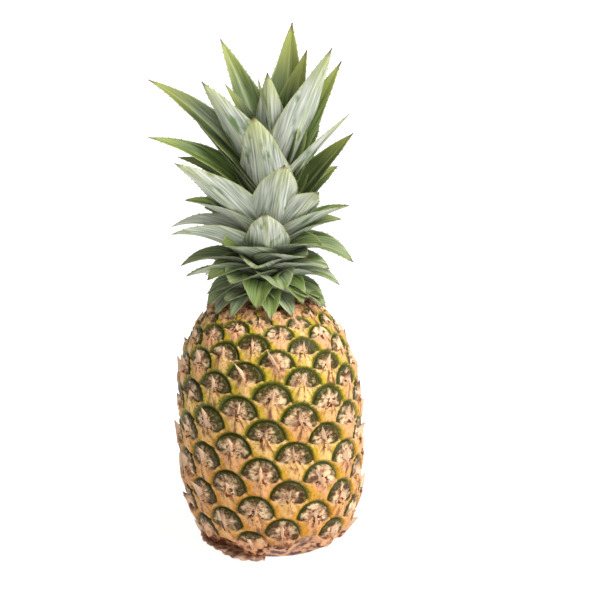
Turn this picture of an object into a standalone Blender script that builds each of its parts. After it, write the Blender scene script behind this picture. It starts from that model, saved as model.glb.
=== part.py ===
"""A ripe pineapple standing on its base, in metres, +Z up, with the origin at the middle of the base.

Three pieces: the fruit with its spiral of eyes, the leafy crown on top and the cut stem in the base.
The eyes are numbered upward from the base along one spiral, a fixed turn and a small rise apart.
A place on the skin is (turn, climb): radians round the fruit, and arc length over radius summed upward.
One radian is the same length both ways there, so the eyes shrink towards the ends and keep their form.
"""

import math
import random

import bmesh
import bpy
import numpy as np
from mathutils import Vector
from mathutils.geometry import delaunay_2d_cdt

MM = 0.001

# Fruit body, a barrel turned from a superellipse and cut flat at the base
BODY_RADIUS = 0.0597
BODY_MIDDLE = 0.0808
BODY_HALF_HEIGHT = 0.0887
TOP_ROUNDNESS = 2.6
BASE_ROUNDNESS = 3.35
BODY_LEAN = -0.036
SEAT_HEIGHT = 0.1680
SEAT_RADIUS = 0.0140
REST_RADIUS = 0.0370

# Eyes
EYE_TURN = math.radians(-99.75)
EYE_CLIMB = 0.02354
CLIMB_SHRINK = 1.5
MEASURED_HEIGHT = 0.084
EYE_ON_FRONT = math.radians(19.5)
EYE_ON_FRONT_CLIMB = 0.228
NEIGHBOUR_STEPS = (7, 18, 11)
CELL = 0.414
RIM_RADIUS = 0.5
RIGHT_NOTCH = math.radians(60)
LEFT_NOTCH = math.radians(93)
RIGHT_HORN = math.radians(-2)
LEFT_HORN = math.radians(173)
LOWEST_EYE = 0.0075
HIGHEST_EYE = 0.1658
GROOVE_DEPTH = 1.3 * MM

# Each eye as (across, up) in cells from its middle and the height of that spot over the skin in mm
EYE_RELIEF = (
    (-0.40, 0.17, 0.9),
    (-0.17, 0.40, 1.0),
    (0.18, 0.39, 1.0),
    (0.41, 0.13, 0.9),
    (-0.17, 0.14, 0.6),
    (0.17, 0.12, 0.6),
    (-0.30, -0.14, 1.5),
    (0.30, -0.20, 1.5),
    (0.00, -0.16, 2.9),
    (0.02, -0.42, 1.1),
    (0.00, 0.09, 4.3),
    (0.00, 0.19, 0.4),
)

# Dried bracts at the foot of the fruit as (first turn, last turn, reach, edge height at each turn)
# in degrees and mm
FOOT_BRACTS = (
    (-74, -40, 55.5, 12.0, 4.5),
    (-50, -8, 53.5, 3.6, 1.8),
    (98, 134, 52.0, 5.0, 7.0),
)
BRACT_ROOT_RADIUS = 0.031
BRACT_ROOT_HEIGHT = 0.0050
BRACT_THICKNESS = 0.0012
BRACT_POINT = 0.0045

# Cut stem in the base
STEM_RADIUS = 0.0122
STEM_DEPTH = 0.0062
STEM_TAPER = 0.0008
GAP = 0.0003

# Crown core, which leans to the right
CORE_FOOT = Vector((BODY_LEAN * SEAT_HEIGHT, 0.0, SEAT_HEIGHT + GAP))
CORE_AXIS = Vector((0.09, 0.0, 1.0))
CORE_HEIGHT = 0.088
CORE_FOOT_RADIUS = 0.0125
CORE_TOP_RADIUS = 0.0050
ROOT_SINK = 0.0035

# Leaves as (facing, root height, tip turn, tip reach, tip height, width, arch). Facing is the way the
# underside looks. Turns are degrees from the front towards the right, heights are mm above the core's
# foot, the reach is mm from its axis, and the arch is a share of the length
LEAVES = (
    (178, 80, 174, 24, 176, 31, 0.00),
    (-150, 78, -122, 51, 165, 23, 0.05),
    (-100, 78, -100, 38, 138, 20, 0.03),
    (-80, 82, -80, 17, 143, 16, 0.02),
    (-20, 80, -52, 14, 147, 22, 0.00),
    (130, 80, 110, 14, 160, 23, 0.02),
    (130, 76, 110, 17, 139, 17, 0.02),
    (24, 66, 62, 32, 163, 31, 0.03),
    (80, 70, 95, 36, 153, 18, 0.04),
    (100, 64, 75, 45, 121, 16, 0.02),
    (112, 46, 92, 48, 107, 25, 0.02),
    (-44, 68, -75, 54, 142, 25, 0.04),
    (-128, 66, -100, 89, 140, 25, 0.08),
    (-84, 54, -104, 55, 112, 21, 0.03),
    (-112, 56, -88, 84, 105, 21, 0.09),
    (-118, 50, -105, 67, 89, 20, 0.10),
    (-48, 38, -62, 73, 93, 31, 0.06),
    (-72, 34, -82, 58, 65, 25, 0.10),
    (-98, 28, -95, 65, 45, 20, 0.16),
    (-78, 20, -72, 67, 45, 22, 0.12),
    (-38, 22, -48, 41, 39, 30, 0.07),
    (-88, 14, -85, 57, 21, 22, 0.16),
    (-74, 8, -70, 56, 17, 21, 0.12),
    (-34, 11, -35, 41, 15, 28, 0.09),
    (-58, 3, -62, 42, -3, 23, 0.22),
    (-84, 3, -80, 33, -4, 22, 0.20),
    (-9, 8, -7, 38, 1, 23, 0.26),
    (7, 3, 7, 36, -4, 17, 0.22),
    (38, 6, 42, 37, 0, 21, 0.26),
    (5, 41, 6, 42, 93, 33, 0.05),
    (-28, 58, -31, 34, 122, 34, 0.04),
    (-5, 23, -6, 46, 63, 30, 0.00),
    (34, 18, 42, 36, 31, 30, 0.10),
    (38, 39, 48, 38, 73, 32, 0.05),
    (66, 31, 82, 50, 61, 26, 0.08),
    (96, 30, 95, 46, 50, 21, 0.10),
    (82, 22, 85, 56, 23, 22, 0.22),
    (58, 15, 62, 45, 22, 23, 0.12),
    (78, 7, 78, 49, 9, 20, 0.20),
    (64, 3, 65, 44, -4, 22, 0.20),
    (50, 2, 50, 43, -4, 21, 0.18),
    (18, 11, 18, 38, 11, 24, 0.14),
    (-12, 15, -12, 40, 26, 25, 0.10),
    (52, 26, 56, 40, 38, 23, 0.10),
    (-54, 15, -56, 46, 16, 23, 0.14),
    (-22, 3, -22, 35, -5, 20, 0.20),
    (-40, 2, -42, 38, -4, 20, 0.20),
    (28, 3, 26, 36, -5, 18, 0.20),
    (90, 3, 90, 38, -4, 20, 0.20),
)

# Leaves behind, in rings of a few: (root height, tip reach, tip height, width, arch, count)
BACK_RINGS = (
    (3, 40, 0, 21, 0.20, 4),
    (10, 48, 9, 22, 0.18, 4),
    (19, 53, 30, 23, 0.15, 3),
    (30, 52, 54, 24, 0.12, 3),
    (41, 50, 81, 26, 0.09, 3),
    (52, 44, 102, 28, 0.08, 3),
    (63, 34, 120, 28, 0.06, 2),
    (72, 22, 132, 25, 0.04, 1),
)
BACK_MIDDLE = 180.0
BACK_SPREAD = 134.0
RING_SHIFT = 13.0
LEAF_WANDER = 0.07

LONG_LEAF = 0.085
LONG_LEAF_SEGMENTS = 5
SHORT_LEAF_SEGMENTS = 3
LEAF_THICKNESS = 0.0011
LEAF_TIP_WIDTH = 0.0012
LEAF_CHANNEL = 0.22
LEAF_ROOT = 0.72
LEAF_SWELL = 1.3
SHORT_FULLNESS = 4.2
LENGTH_SLIMMING = 25.0
SLIMMEST = 1.5
FULLEST = 3.0

SKIN_COLOUR = (0.42, 0.36, 0.10, 1.0)
LEAF_COLOUR = (0.10, 0.17, 0.08, 1.0)
STEM_COLOUR = (0.45, 0.33, 0.18, 1.0)


def clear_scene():
    for obj in list(bpy.data.objects):
        bpy.data.objects.remove(obj)


def new_collection(name):
    collection = bpy.data.collections.new(name)
    bpy.context.scene.collection.children.link(collection)
    return collection


def principled(name, colour, roughness):
    material = bpy.data.materials.new(name)
    material.use_nodes = True
    shader = material.node_tree.nodes["Principled BSDF"]
    shader.inputs["Base Color"].default_value = colour
    shader.inputs["Roughness"].default_value = roughness
    return material


def add_object(name, bm, collection, material=None):
    mesh = bpy.data.meshes.new(name)
    bm.to_mesh(mesh)
    bm.free()
    obj = bpy.data.objects.new(name, mesh)
    collection.objects.link(obj)
    if material:
        mesh.materials.append(material)
    return obj


def as_helper(obj):
    obj.hide_render = True
    obj.display_type = "WIRE"


def join_by_boolean(obj, helpers, solver):
    """Joins the helpers' solids to the object in one Boolean, applies it and removes them."""
    joining = obj.modifiers.new("join", "BOOLEAN")
    joining.operation = "UNION"
    joining.operand_type = "COLLECTION"
    joining.collection = helpers
    joining.solver = solver
    graph = bpy.context.evaluated_depsgraph_get()
    joined = bpy.data.meshes.new_from_object(obj.evaluated_get(graph))
    obj.modifiers.remove(joining)
    obj.data = joined
    for helper in list(helpers.objects):
        bpy.data.objects.remove(helper)
    keep_outer_skin(joined)


def linked_faces(start):
    """All the faces that can be reached from one across edges that only two faces share."""
    found = {start}
    ahead = [start]
    while ahead:
        face = ahead.pop()
        shared = [edge.link_faces for edge in face.edges if len(edge.link_faces) == 2]
        for other in (item for pair in shared for item in pair):
            if other not in found:
                found.add(other)
                ahead.append(other)
    return found


def keep_outer_skin(mesh):
    """Fills the pockets that crossing blades close off, and drops loose scraps: only the main skin stays."""
    bm = bmesh.new()
    bm.from_mesh(mesh)
    bmesh.ops.triangulate(bm, faces=bm.faces)
    left = set(bm.faces)
    skins = []
    while left:
        skin = linked_faces(left.pop())
        left -= skin
        skins.append(skin)
    main_skin = max(skins, key=len)
    extra = [face for face in bm.faces if face not in main_skin]
    bmesh.ops.delete(bm, geom=extra, context="FACES")
    bm.to_mesh(mesh)
    bm.free()


# Fruit


def body_radius(height):
    share = (height - BODY_MIDDLE) / BODY_HALF_HEIGHT
    roundness = np.where(share > 0, TOP_ROUNDNESS, BASE_ROUNDNESS)
    return BODY_RADIUS * (1 - np.abs(share) ** roundness) ** (1 / roundness)


class Skin:
    """The body's side as a table from climb to height and radius."""

    def __init__(self):
        self.height = np.linspace(0.0005, SEAT_HEIGHT - 0.0005, 1500)
        self.radius = body_radius(self.height)
        arc = np.hypot(np.diff(self.height), np.diff(self.radius))
        pace = 1 - CLIMB_SHRINK * (self.height - MEASURED_HEIGHT)
        share = 1 / (self.radius * pace)
        steps = arc * (share[1:] + share[:-1]) / 2
        self.climb = np.concatenate([[0.0], np.cumsum(steps)])
        self.middle_climb = float(np.interp(MEASURED_HEIGHT, self.height, self.climb))

    def height_at(self, climb):
        return float(np.interp(climb, self.climb, self.height))

    def climb_at(self, height):
        return float(np.interp(height, self.height, self.climb))

    def point(self, turn, climb, lift):
        """The place of a spot on the skin, lifted along the outward normal by lift at the full radius."""
        height = self.height_at(climb)
        radius = float(body_radius(height))
        slope = float(body_radius(height + 0.0002) - body_radius(height - 0.0002)) / 0.0004
        outward = Vector((1.0, 0.0, -slope)).normalized() * lift * radius / BODY_RADIUS
        radius += outward.x
        height = max(height + outward.z, 0.0)
        across = radius * math.sin(turn) + BODY_LEAN * height
        return Vector((across, -radius * math.cos(turn), height))


def neighbour(steps):
    """The offset (turn, climb) to the eye that many steps further up the spiral."""
    turn = math.remainder(steps * EYE_TURN, 2 * math.pi)
    return Vector((turn, steps * EYE_CLIMB))


def on_rim(angle):
    return Vector((math.cos(angle), math.sin(angle))) * RIM_RADIUS * CELL


def eye_outline():
    """Fourteen points round an eye, anticlockwise from its right horn's tip.

    The rim is round, and the bract's two horns reach out between the rims of the eyes beside it. Each
    lower side is the upper side of the eye below it, so that the eyes fit together.
    """
    right, above, left = (neighbour(steps) for steps in NEIGHBOUR_STEPS)
    right_rim = [on_rim(RIGHT_HORN), on_rim((RIGHT_HORN + RIGHT_NOTCH) / 2), on_rim(RIGHT_NOTCH)]
    left_rim = [on_rim(LEFT_NOTCH), on_rim((LEFT_NOTCH + LEFT_HORN) / 2), on_rim(LEFT_HORN)]
    sides = (
        ([left_rim[0] - left] + right_rim, right),
        ([right_rim[-1], left_rim[0]], above),
        (left_rim + [right_rim[-1] - right], left),
    )
    upper = [point for side, towards in sides for point in side[:-1]]
    lower = [point - towards for side, towards in sides for point in side[:0:-1]]
    return upper + lower


def eye_template():
    """The eye's points as (turn, climb, lift), and the triangles between them."""
    outline = eye_outline()
    spots = [(p.x, p.y, -GROOVE_DEPTH) for p in outline]
    spots += [(across * CELL, up * CELL, lift * MM) for across, up, lift in EYE_RELIEF]
    flat = [Vector((x, y)) for x, y, _ in spots]
    ring = [list(range(len(outline)))]
    result = delaunay_2d_cdt(flat, [], ring, 1, 1e-7)
    order = [origin[0] for origin in result[3]]
    return spots, [[order[i] for i in face] for face in result[2]]


def eye_places(skin):
    """The middle of every eye as (turn, climb), from the base upward."""
    lowest = skin.climb_at(LOWEST_EYE)
    highest = skin.climb_at(HIGHEST_EYE)
    front_climb = skin.middle_climb + EYE_ON_FRONT_CLIMB
    first = math.ceil((lowest - front_climb) / EYE_CLIMB)
    last = math.floor((highest - front_climb) / EYE_CLIMB)
    return [
        (EYE_ON_FRONT + step * EYE_TURN, front_climb + step * EYE_CLIMB)
        for step in range(first, last + 1)
    ]


def ordered_loop(edges):
    """The points of a closed chain of edges, in order from the one nearest the front's far side."""
    chain = [min((point for edge in edges for point in edge.verts), key=turn_of)]
    edge = next(e for e in chain[0].link_edges if e in edges)
    while True:
        point = edge.other_vert(chain[-1])
        if point == chain[0]:
            return chain
        chain.append(point)
        edge = next(e for e in point.link_edges if e in edges and e is not edge)


def turn_of(point):
    return math.atan2(point.co.x - BODY_LEAN * point.co.z, -point.co.y)


def extend_loop(bm, edges, radius, height):
    """Draws a rim out to a ring of that radius and height, and gives the ring's edges."""
    chain = ordered_loop(edges)
    wound = sum(math.remainder(turn_of(b) - turn_of(a), 2 * math.pi)
                for a, b in zip(chain, chain[1:] + chain[:1]))
    step = math.copysign(2 * math.pi / len(chain), wound)
    offset = sum(math.remainder(turn_of(p) - turn_of(chain[0]) - i * step, 2 * math.pi)
                 for i, p in enumerate(chain)) / len(chain)
    start = turn_of(chain[0]) + offset
    places = {p: start + i * step for i, p in enumerate(chain)}
    made = bmesh.ops.extrude_edge_only(bm, edges=list(edges))["geom"]
    new_edges = {item for item in made if isinstance(item, bmesh.types.BMEdge) and item.is_boundary}
    for new in {point for edge in new_edges for point in edge.verts}:
        old = next(e.other_vert(new) for e in new.link_edges if e.other_vert(new) in places)
        turn = places[old]
        across = radius * math.sin(turn) + BODY_LEAN * height
        new.co = (across, -radius * math.cos(turn), height)
    return new_edges


def foot_bract(first, last, reach, first_edge, last_edge, helpers):
    """One dried bract that spreads from under the lowest eyes, its edge drawn out to a blunt point."""
    bm = bmesh.new()
    bmesh.ops.create_grid(bm, x_segments=4, y_segments=2, size=1)
    for point in bm.verts:
        across = (point.co.x + 1) / 2
        along = (point.co.y + 1) / 2
        turn = first + (last - first) * across
        edge = first_edge + (last_edge - first_edge) * across
        tip = reach - BRACT_POINT * (2 * across - 1) ** 2
        radius = BRACT_ROOT_RADIUS + (tip - BRACT_ROOT_RADIUS) * along
        height = BRACT_ROOT_HEIGHT + (edge - BRACT_ROOT_HEIGHT) * along ** 2
        point.co = (radius * math.sin(turn), -radius * math.cos(turn), height)
    obj = add_object("foot_bract", bm, helpers)
    shell = obj.modifiers.new("thickness", "SOLIDIFY")
    shell.thickness = BRACT_THICKNESS
    shell.offset = 0
    as_helper(obj)


def make_fruit(collection, helpers, material):
    skin = Skin()
    spots, faces = eye_template()
    bm = bmesh.new()
    for turn, climb in eye_places(skin):
        points = [bm.verts.new(skin.point(turn + x, climb + y, lift)) for x, y, lift in spots]
        for face in faces:
            bm.faces.new([points[i] for i in face])
    bmesh.ops.remove_doubles(bm, verts=bm.verts, dist=0.00002)
    rims = {edge for edge in bm.edges if edge.is_boundary}
    low = {edge for edge in rims if edge.verts[0].co.z < BODY_MIDDLE}
    base = extend_loop(bm, low, REST_RADIUS, 0.0)
    base = extend_loop(bm, base, STEM_RADIUS + GAP + STEM_TAPER, 0.0)
    base = extend_loop(bm, base, STEM_RADIUS + GAP, STEM_DEPTH + GAP)
    bmesh.ops.contextual_create(bm, geom=list(base))
    seat = extend_loop(bm, rims - low, SEAT_RADIUS, SEAT_HEIGHT)
    bmesh.ops.contextual_create(bm, geom=list(seat))
    bmesh.ops.recalc_face_normals(bm, faces=bm.faces)
    bmesh.ops.triangulate(bm, faces=bm.faces)
    fruit = add_object("fruit", bm, collection, material)
    for first, last, reach, first_edge, last_edge in FOOT_BRACTS:
        turns = math.radians(first), math.radians(last)
        foot_bract(*turns, reach * MM, first_edge * MM, last_edge * MM, helpers)
    join_by_boolean(fruit, helpers, "MANIFOLD")
    return fruit


# Crown


def leaf_width(along, length):
    """The blade's width along its length, as a share of its widest. A short blade is fuller."""
    fullness = min(max(SHORT_FULLNESS - LENGTH_SLIMMING * length, SLIMMEST), FULLEST)
    return min(1.0, LEAF_ROOT + LEAF_SWELL * along) * (1 - along ** fullness)


def leaf_mid_line(root, tip, arch):
    """A point on the mid-line for a share of the way along it: a cubic curve raised in its middle."""
    lift = Vector((0, 0, arch * (tip - root).length * 4 / 3))
    first = root.lerp(tip, 1 / 3) + lift
    second = root.lerp(tip, 2 / 3) + lift

    def at(share):
        back = 1 - share
        return (root * back ** 3 + first * 3 * back ** 2 * share
                + second * 3 * back * share ** 2 + tip * share ** 3)

    return at


def outward(turn):
    return Vector((math.sin(turn), -math.cos(turn), 0))


def leaf(facing, root_height, turn, reach, tip_height, width, arch, helpers):
    """One channelled blade, its root sunk in the core and its underside facing out."""
    share = root_height / CORE_HEIGHT
    core_radius = CORE_FOOT_RADIUS + (CORE_TOP_RADIUS - CORE_FOOT_RADIUS) * share
    root = CORE_FOOT + CORE_AXIS * root_height + outward(facing) * (core_radius - ROOT_SINK)
    tip = CORE_FOOT + CORE_AXIS * tip_height + outward(turn) * reach
    mid_line = leaf_mid_line(root, tip, arch)
    length = (tip - root).length
    edge = Vector((math.cos(facing), math.sin(facing), 0))
    segments = LONG_LEAF_SEGMENTS if length > LONG_LEAF else SHORT_LEAF_SEGMENTS
    bm = bmesh.new()
    bmesh.ops.create_grid(bm, x_segments=2, y_segments=segments, size=1)
    for point in bm.verts:
        across = point.co.x
        along = (point.co.y + 1) / 2
        tangent = (mid_line(along + 0.01) - mid_line(along - 0.01)).normalized()
        side = (edge - tangent * edge.dot(tangent)).normalized()
        under = side.cross(tangent)
        half = max(width * leaf_width(along, length), LEAF_TIP_WIDTH) / 2
        channel = LEAF_CHANNEL * 2 * half * (1 - 0.5 * along)
        point.co = mid_line(along) + side * across * half - under * abs(across) * channel
    obj = add_object("leaf", bm, helpers)
    shell = obj.modifiers.new("thickness", "SOLIDIFY")
    shell.thickness = LEAF_THICKNESS
    shell.offset = 0
    as_helper(obj)


def all_leaves():
    """The leaves in view from the list, then the rings behind, each leaf off its place by a seeded draw."""
    chance = random.Random(7)
    leaves = list(LEAVES)
    for ring, (root, reach, tip, width, arch, count) in enumerate(BACK_RINGS):
        for number in range(count):
            share = (number + 0.5) / count - 0.5
            turn = BACK_MIDDLE + BACK_SPREAD * share + RING_SHIFT * (-1) ** ring
            wander = 1 + chance.uniform(-LEAF_WANDER, LEAF_WANDER)
            height = root + (tip - root) * (1 + chance.uniform(-LEAF_WANDER, LEAF_WANDER))
            leaves.append((turn, root, turn, reach * wander, height, width, arch))
    return leaves


def make_crown(collection, helpers, material):
    bm = bmesh.new()
    bmesh.ops.create_cone(
        bm, cap_ends=True, segments=12, radius1=CORE_FOOT_RADIUS, radius2=CORE_TOP_RADIUS, depth=CORE_HEIGHT
    )
    for point in bm.verts:
        along = point.co.z + CORE_HEIGHT / 2
        point.co = CORE_FOOT + CORE_AXIS * along + Vector((point.co.x, point.co.y, 0))
    crown = add_object("crown", bm, collection, material)
    for facing, root, turn, reach, tip, width, arch in all_leaves():
        turns = math.radians(facing), math.radians(turn)
        leaf(turns[0], root * MM, turns[1], reach * MM, tip * MM, width * MM, arch, helpers)
    join_by_boolean(crown, helpers, "MANIFOLD")
    return crown


# Cut stem


def make_stem(collection, material):
    bm = bmesh.new()
    bmesh.ops.create_cone(
        bm,
        cap_ends=True,
        segments=24,
        radius1=STEM_RADIUS + STEM_TAPER,
        radius2=STEM_RADIUS,
        depth=STEM_DEPTH,
    )
    bmesh.ops.translate(bm, verts=bm.verts, vec=(0, 0, STEM_DEPTH / 2))
    return add_object("cut_stem", bm, collection, material)


def main():
    clear_scene()
    pineapple = new_collection("pineapple")
    helpers = new_collection("cutters")
    make_fruit(pineapple, helpers, principled("skin", SKIN_COLOUR, 0.55))
    make_crown(pineapple, helpers, principled("leaf", LEAF_COLOUR, 0.45))
    make_stem(pineapple, principled("cut stem", STEM_COLOUR, 0.8))


main()
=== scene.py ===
"""The finish of a ripe pineapple, dressed over its solid model: rind, bract tips, leaves and cut stem.

Metres, +Z up, with the photograph's side towards -Y. A place on the rind is (turn, climb, lift): radians
round the fruit, arc length over radius summed upward, and metres out from the skin at the full radius.
"""

import math
import random

import bmesh
import bpy
import numpy as np
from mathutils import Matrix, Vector
from mathutils.geometry import delaunay_2d_cdt


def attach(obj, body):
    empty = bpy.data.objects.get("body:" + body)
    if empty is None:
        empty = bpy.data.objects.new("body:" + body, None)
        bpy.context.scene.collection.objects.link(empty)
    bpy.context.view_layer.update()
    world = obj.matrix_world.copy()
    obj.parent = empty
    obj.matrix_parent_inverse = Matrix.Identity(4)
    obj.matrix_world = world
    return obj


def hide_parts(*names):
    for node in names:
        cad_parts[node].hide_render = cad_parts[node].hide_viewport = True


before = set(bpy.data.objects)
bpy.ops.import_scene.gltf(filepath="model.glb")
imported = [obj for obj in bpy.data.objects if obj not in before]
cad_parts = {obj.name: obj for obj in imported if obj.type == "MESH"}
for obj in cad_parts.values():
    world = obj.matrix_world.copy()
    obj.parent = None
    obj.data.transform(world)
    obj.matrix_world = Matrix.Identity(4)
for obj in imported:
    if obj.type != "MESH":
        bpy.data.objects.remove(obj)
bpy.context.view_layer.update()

MM = 0.001

# Fruit body, a barrel turned from a superellipse and cut flat at the base
BODY_RADIUS = 0.0597
BODY_MIDDLE = 0.0808
BODY_HALF_HEIGHT = 0.0887
TOP_ROUNDNESS = 2.6
BASE_ROUNDNESS = 3.35
BODY_LEAN = -0.036
SEAT_HEIGHT = 0.1680
SEAT_RADIUS = 0.0140
REST_RADIUS = 0.0370
STEM_HOLE = 0.0125
STEM_TAPER = 0.0008
STEM_HOLE_DEPTH = 0.0065

# Eyes, numbered upward along one spiral
EYE_TURN = math.radians(-99.75)
EYE_CLIMB = 0.02354
CLIMB_SHRINK = 1.5
MEASURED_HEIGHT = 0.084
EYE_ON_FRONT = math.radians(19.5)
EYE_ON_FRONT_CLIMB = 0.228
NEIGHBOUR_STEPS = (7, 18, 11)
CELL = 0.414
CELL_MM = CELL * BODY_RADIUS / MM
RIM_RADIUS = 0.5
RIGHT_NOTCH = math.radians(60)
LEFT_NOTCH = math.radians(93)
RIGHT_HORN = math.radians(-2)
LEFT_HORN = math.radians(173)
LOWEST_EYE = 0.0075
HIGHEST_EYE = 0.1658
GROOVE_DEPTH = 1.3
SEAM_DEPTH = 0.4
DRIED_EYES = 11
MERGE_WITHIN = 0.02 * MM
TABLE_STEP = 0.002

# The eye's relief in mm, and how many rays, beads and folds there are to a full turn. The hollow is in the
# disc, along the bract's upper edge
RIM_HEIGHT = 0.9
EDGE_HOLLOW = 0.7
BRACT_HEIGHT = 1.1
RIDGE_HEIGHT = 1.3
RAY_HEIGHT = 0.30
RAYS = 8
BEAD_HEIGHT = 0.32
BEADS = 11
FOLD_HEIGHT = 0.30
FOLDS = 19

# Bumps of the disc on both sides of the dry tip, as (across, up, height, width) in cells, the height in mm
LOBES = ((0.17, 0.14, 1.2, 0.11), (-0.17, 0.16, 1.0, 0.10))

# The eye's fine mesh, in cells
RIM_STEP = math.radians(7)
HORN_STEPS = 4
GRID_STEP = 0.047
RIM_ROWS = (0.022, 0.050, 0.085)
EDGE_ROWS = (-0.016, 0.016)
EDGE_REACH = 0.52
EDGE_POINTS = 26
SHEET_ACROSS = (-0.72, 0.74)
SHEET_UP = (-0.64, 0.56)
LEAST_GAP = 0.42 * GRID_STEP
LEAST_INSET = 0.35 * GRID_STEP

# Dry blades over the eyes. The width is the sum of two shares, each with the power by which it narrows.
# The thickness and its loss towards the point are in mm
BLADE_STATIONS = 8
BLADE_WIDTHS = ((0.7, 1.8), (0.3, 0.8))
BLADE_CURL = 0.18
BLADE_THICK = 0.6
BLADE_THINNING = 0.3

# Upper edge of the bract across the eye, as (across, up) in cells from the eye's middle
BRACT_EDGE = (
    (-0.72, 0.20),
    (-0.50, 0.075),
    (-0.36, -0.02),
    (-0.15, -0.05),
    (-0.07, 0.03),
    (0.0, 0.10),
    (0.07, 0.00),
    (0.15, -0.10),
    (0.36, -0.12),
    (0.50, -0.015),
    (0.72, 0.10),
)

# Crown core, which leans to the right
CORE_FOOT = np.array((BODY_LEAN * SEAT_HEIGHT, 0.0, SEAT_HEIGHT + 0.0003))
CORE_AXIS = np.array((0.09, 0.0, 1.0))
CORE_HEIGHT = 0.088
CORE_FOOT_RADIUS = 0.0125
CORE_TOP_RADIUS = 0.0050
ROOT_SINK = 0.0035

# Leaves as (facing, root height, tip turn, tip reach, tip height, width, arch). Facing is the way the
# underside looks. Turns are degrees from the front towards the right, heights are mm above the core's
# foot, the reach is mm from its axis, and the arch is a share of the length
LEAVES = (
    (178, 80, 174, 24, 176, 31, 0.00),
    (-150, 78, -122, 51, 165, 23, 0.05),
    (-100, 78, -100, 38, 138, 20, 0.03),
    (-80, 82, -80, 17, 143, 16, 0.02),
    (-20, 80, -52, 14, 147, 22, 0.00),
    (130, 80, 110, 14, 160, 23, 0.02),
    (130, 76, 110, 17, 139, 17, 0.02),
    (24, 66, 62, 32, 163, 31, 0.03),
    (150, 70, 95, 36, 153, 19, 0.02),
    (100, 64, 75, 45, 121, 16, 0.02),
    (112, 46, 92, 48, 107, 25, 0.02),
    (-44, 68, -75, 54, 142, 25, 0.04),
    (-128, 66, -100, 89, 140, 25, 0.08),
    (-84, 54, -104, 55, 112, 21, 0.03),
    (-112, 56, -88, 84, 105, 21, 0.09),
    (-118, 50, -105, 67, 89, 20, 0.10),
    (-48, 33, -62, 73, 93, 30, 0.06),
    (-56, 34, -82, 58, 65, 25, 0.10),
    (-78, 28, -95, 65, 45, 20, 0.16),
    (-58, 20, -72, 67, 45, 22, 0.12),
    (-38, 22, -48, 41, 39, 30, 0.07),
    (-66, 14, -85, 57, 21, 22, 0.16),
    (-56, 8, -70, 56, 17, 21, 0.12),
    (-34, 11, -35, 41, 15, 28, 0.09),
    (-58, 3, -62, 42, -3, 23, 0.22),
    (-70, 4, -86, 38, -6, 20, 0.14),
    (-9, 8, -7, 38, -1, 23, 0.26),
    (8, 3, 7, 38, -8, 15, 0.20),
    (38, 6, 42, 37, 0, 21, 0.26),
    (5, 35, 6, 42, 93, 31, 0.04),
    (-28, 52, -31, 34, 122, 32, 0.03),
    (-5, 21, -6, 46, 63, 26, 0.00),
    (34, 18, 42, 36, 31, 30, 0.10),
    (38, 32, 48, 38, 73, 29, 0.05),
    (54, 31, 82, 50, 61, 26, 0.08),
    (76, 30, 95, 46, 50, 21, 0.10),
    (62, 22, 85, 56, 23, 22, 0.22),
    (58, 15, 62, 45, 22, 23, 0.12),
    (58, 7, 78, 49, 9, 20, 0.20),
    (52, 3, 65, 44, -4, 22, 0.20),
    (40, 3, 64, 42, 2, 20, 0.07),
    (18, 11, 18, 38, 11, 24, 0.14),
    (-12, 15, -12, 40, 26, 25, 0.10),
    (52, 26, 56, 40, 38, 23, 0.10),
    (-54, 15, -56, 46, 16, 23, 0.14),
    (-14, 4, -46, 37, 2, 19, 0.06),
    (-44, 4, -72, 40, 4, 20, 0.07),
    (22, 4, 48, 39, 4, 18, 0.05),
    (90, 3, 90, 38, -5, 20, 0.20),
    (-30, 3, -34, 38, -8, 14, 0.18),
    (24, 3, 30, 37, -7, 15, 0.14),
    (-60, 3, -54, 39, -8, 18, 0.15),
    (70, 4, 84, 39, -8, 18, 0.12),
)

# Fresh small leaves at the crown's foot, which keep a clear green
VIVID_LEAVES = LEAVES[26:29]
VIVID_DRAW = (0.9, 0.0, 0.0)

# Leaves behind, in rings of a few: (root height, tip reach, tip height, width, arch, count)
BACK_RINGS = (
    (3, 38, -7, 18, 0.16, 5),
    (3, 40, 0, 21, 0.20, 4),
    (10, 48, 9, 22, 0.18, 4),
    (19, 53, 30, 23, 0.15, 3),
    (30, 52, 54, 24, 0.12, 3),
    (41, 50, 81, 26, 0.09, 3),
    (52, 44, 102, 28, 0.08, 3),
    (63, 34, 120, 28, 0.06, 2),
    (72, 22, 132, 25, 0.04, 1),
)
BACK_MIDDLE = 180.0
BACK_SPREAD = 134.0
RING_SHIFT = 13.0
LEAF_WANDER = 0.07

LEAF_STATIONS = 26
TIP_CROWDING = 1.3
LEAF_SECTION = (-1.0, -0.86, -0.62, -0.32, 0.0, 0.32, 0.62, 0.86, 1.0)
LEAF_TIP_WIDTH = 0.0010
LEAF_BREADTH = 1.17
LEAF_ROOT = 0.72
LEAF_SWELL = 1.3
SHORT_FULLNESS = 4.2
LENGTH_SLIMMING = 25.0
SLIMMEST = 1.7
FULLEST = 3.0
LEAF_THICK = 1.9 * MM
LEAF_THIN = 0.5 * MM
THICKNESS_LOSS = 0.6
THINNED_BELOW = 0.002
LEAF_SWAY = 0.018
LEAF_TWIST = math.radians(9)
MARGIN_WAVE = 0.035
SHARP_MARGIN = math.radians(100)

# A leaf's section is a V with a soft fold, which is flatter towards the tip: 0 at the fold, 1 at the margins
LEAF_CHANNEL = 0.34
CHANNEL_LOSS = 0.5
FOLD_SOFTNESS = 0.008
FOLD_LEVEL = 0.0894
FOLD_RISE = 0.9146

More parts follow.
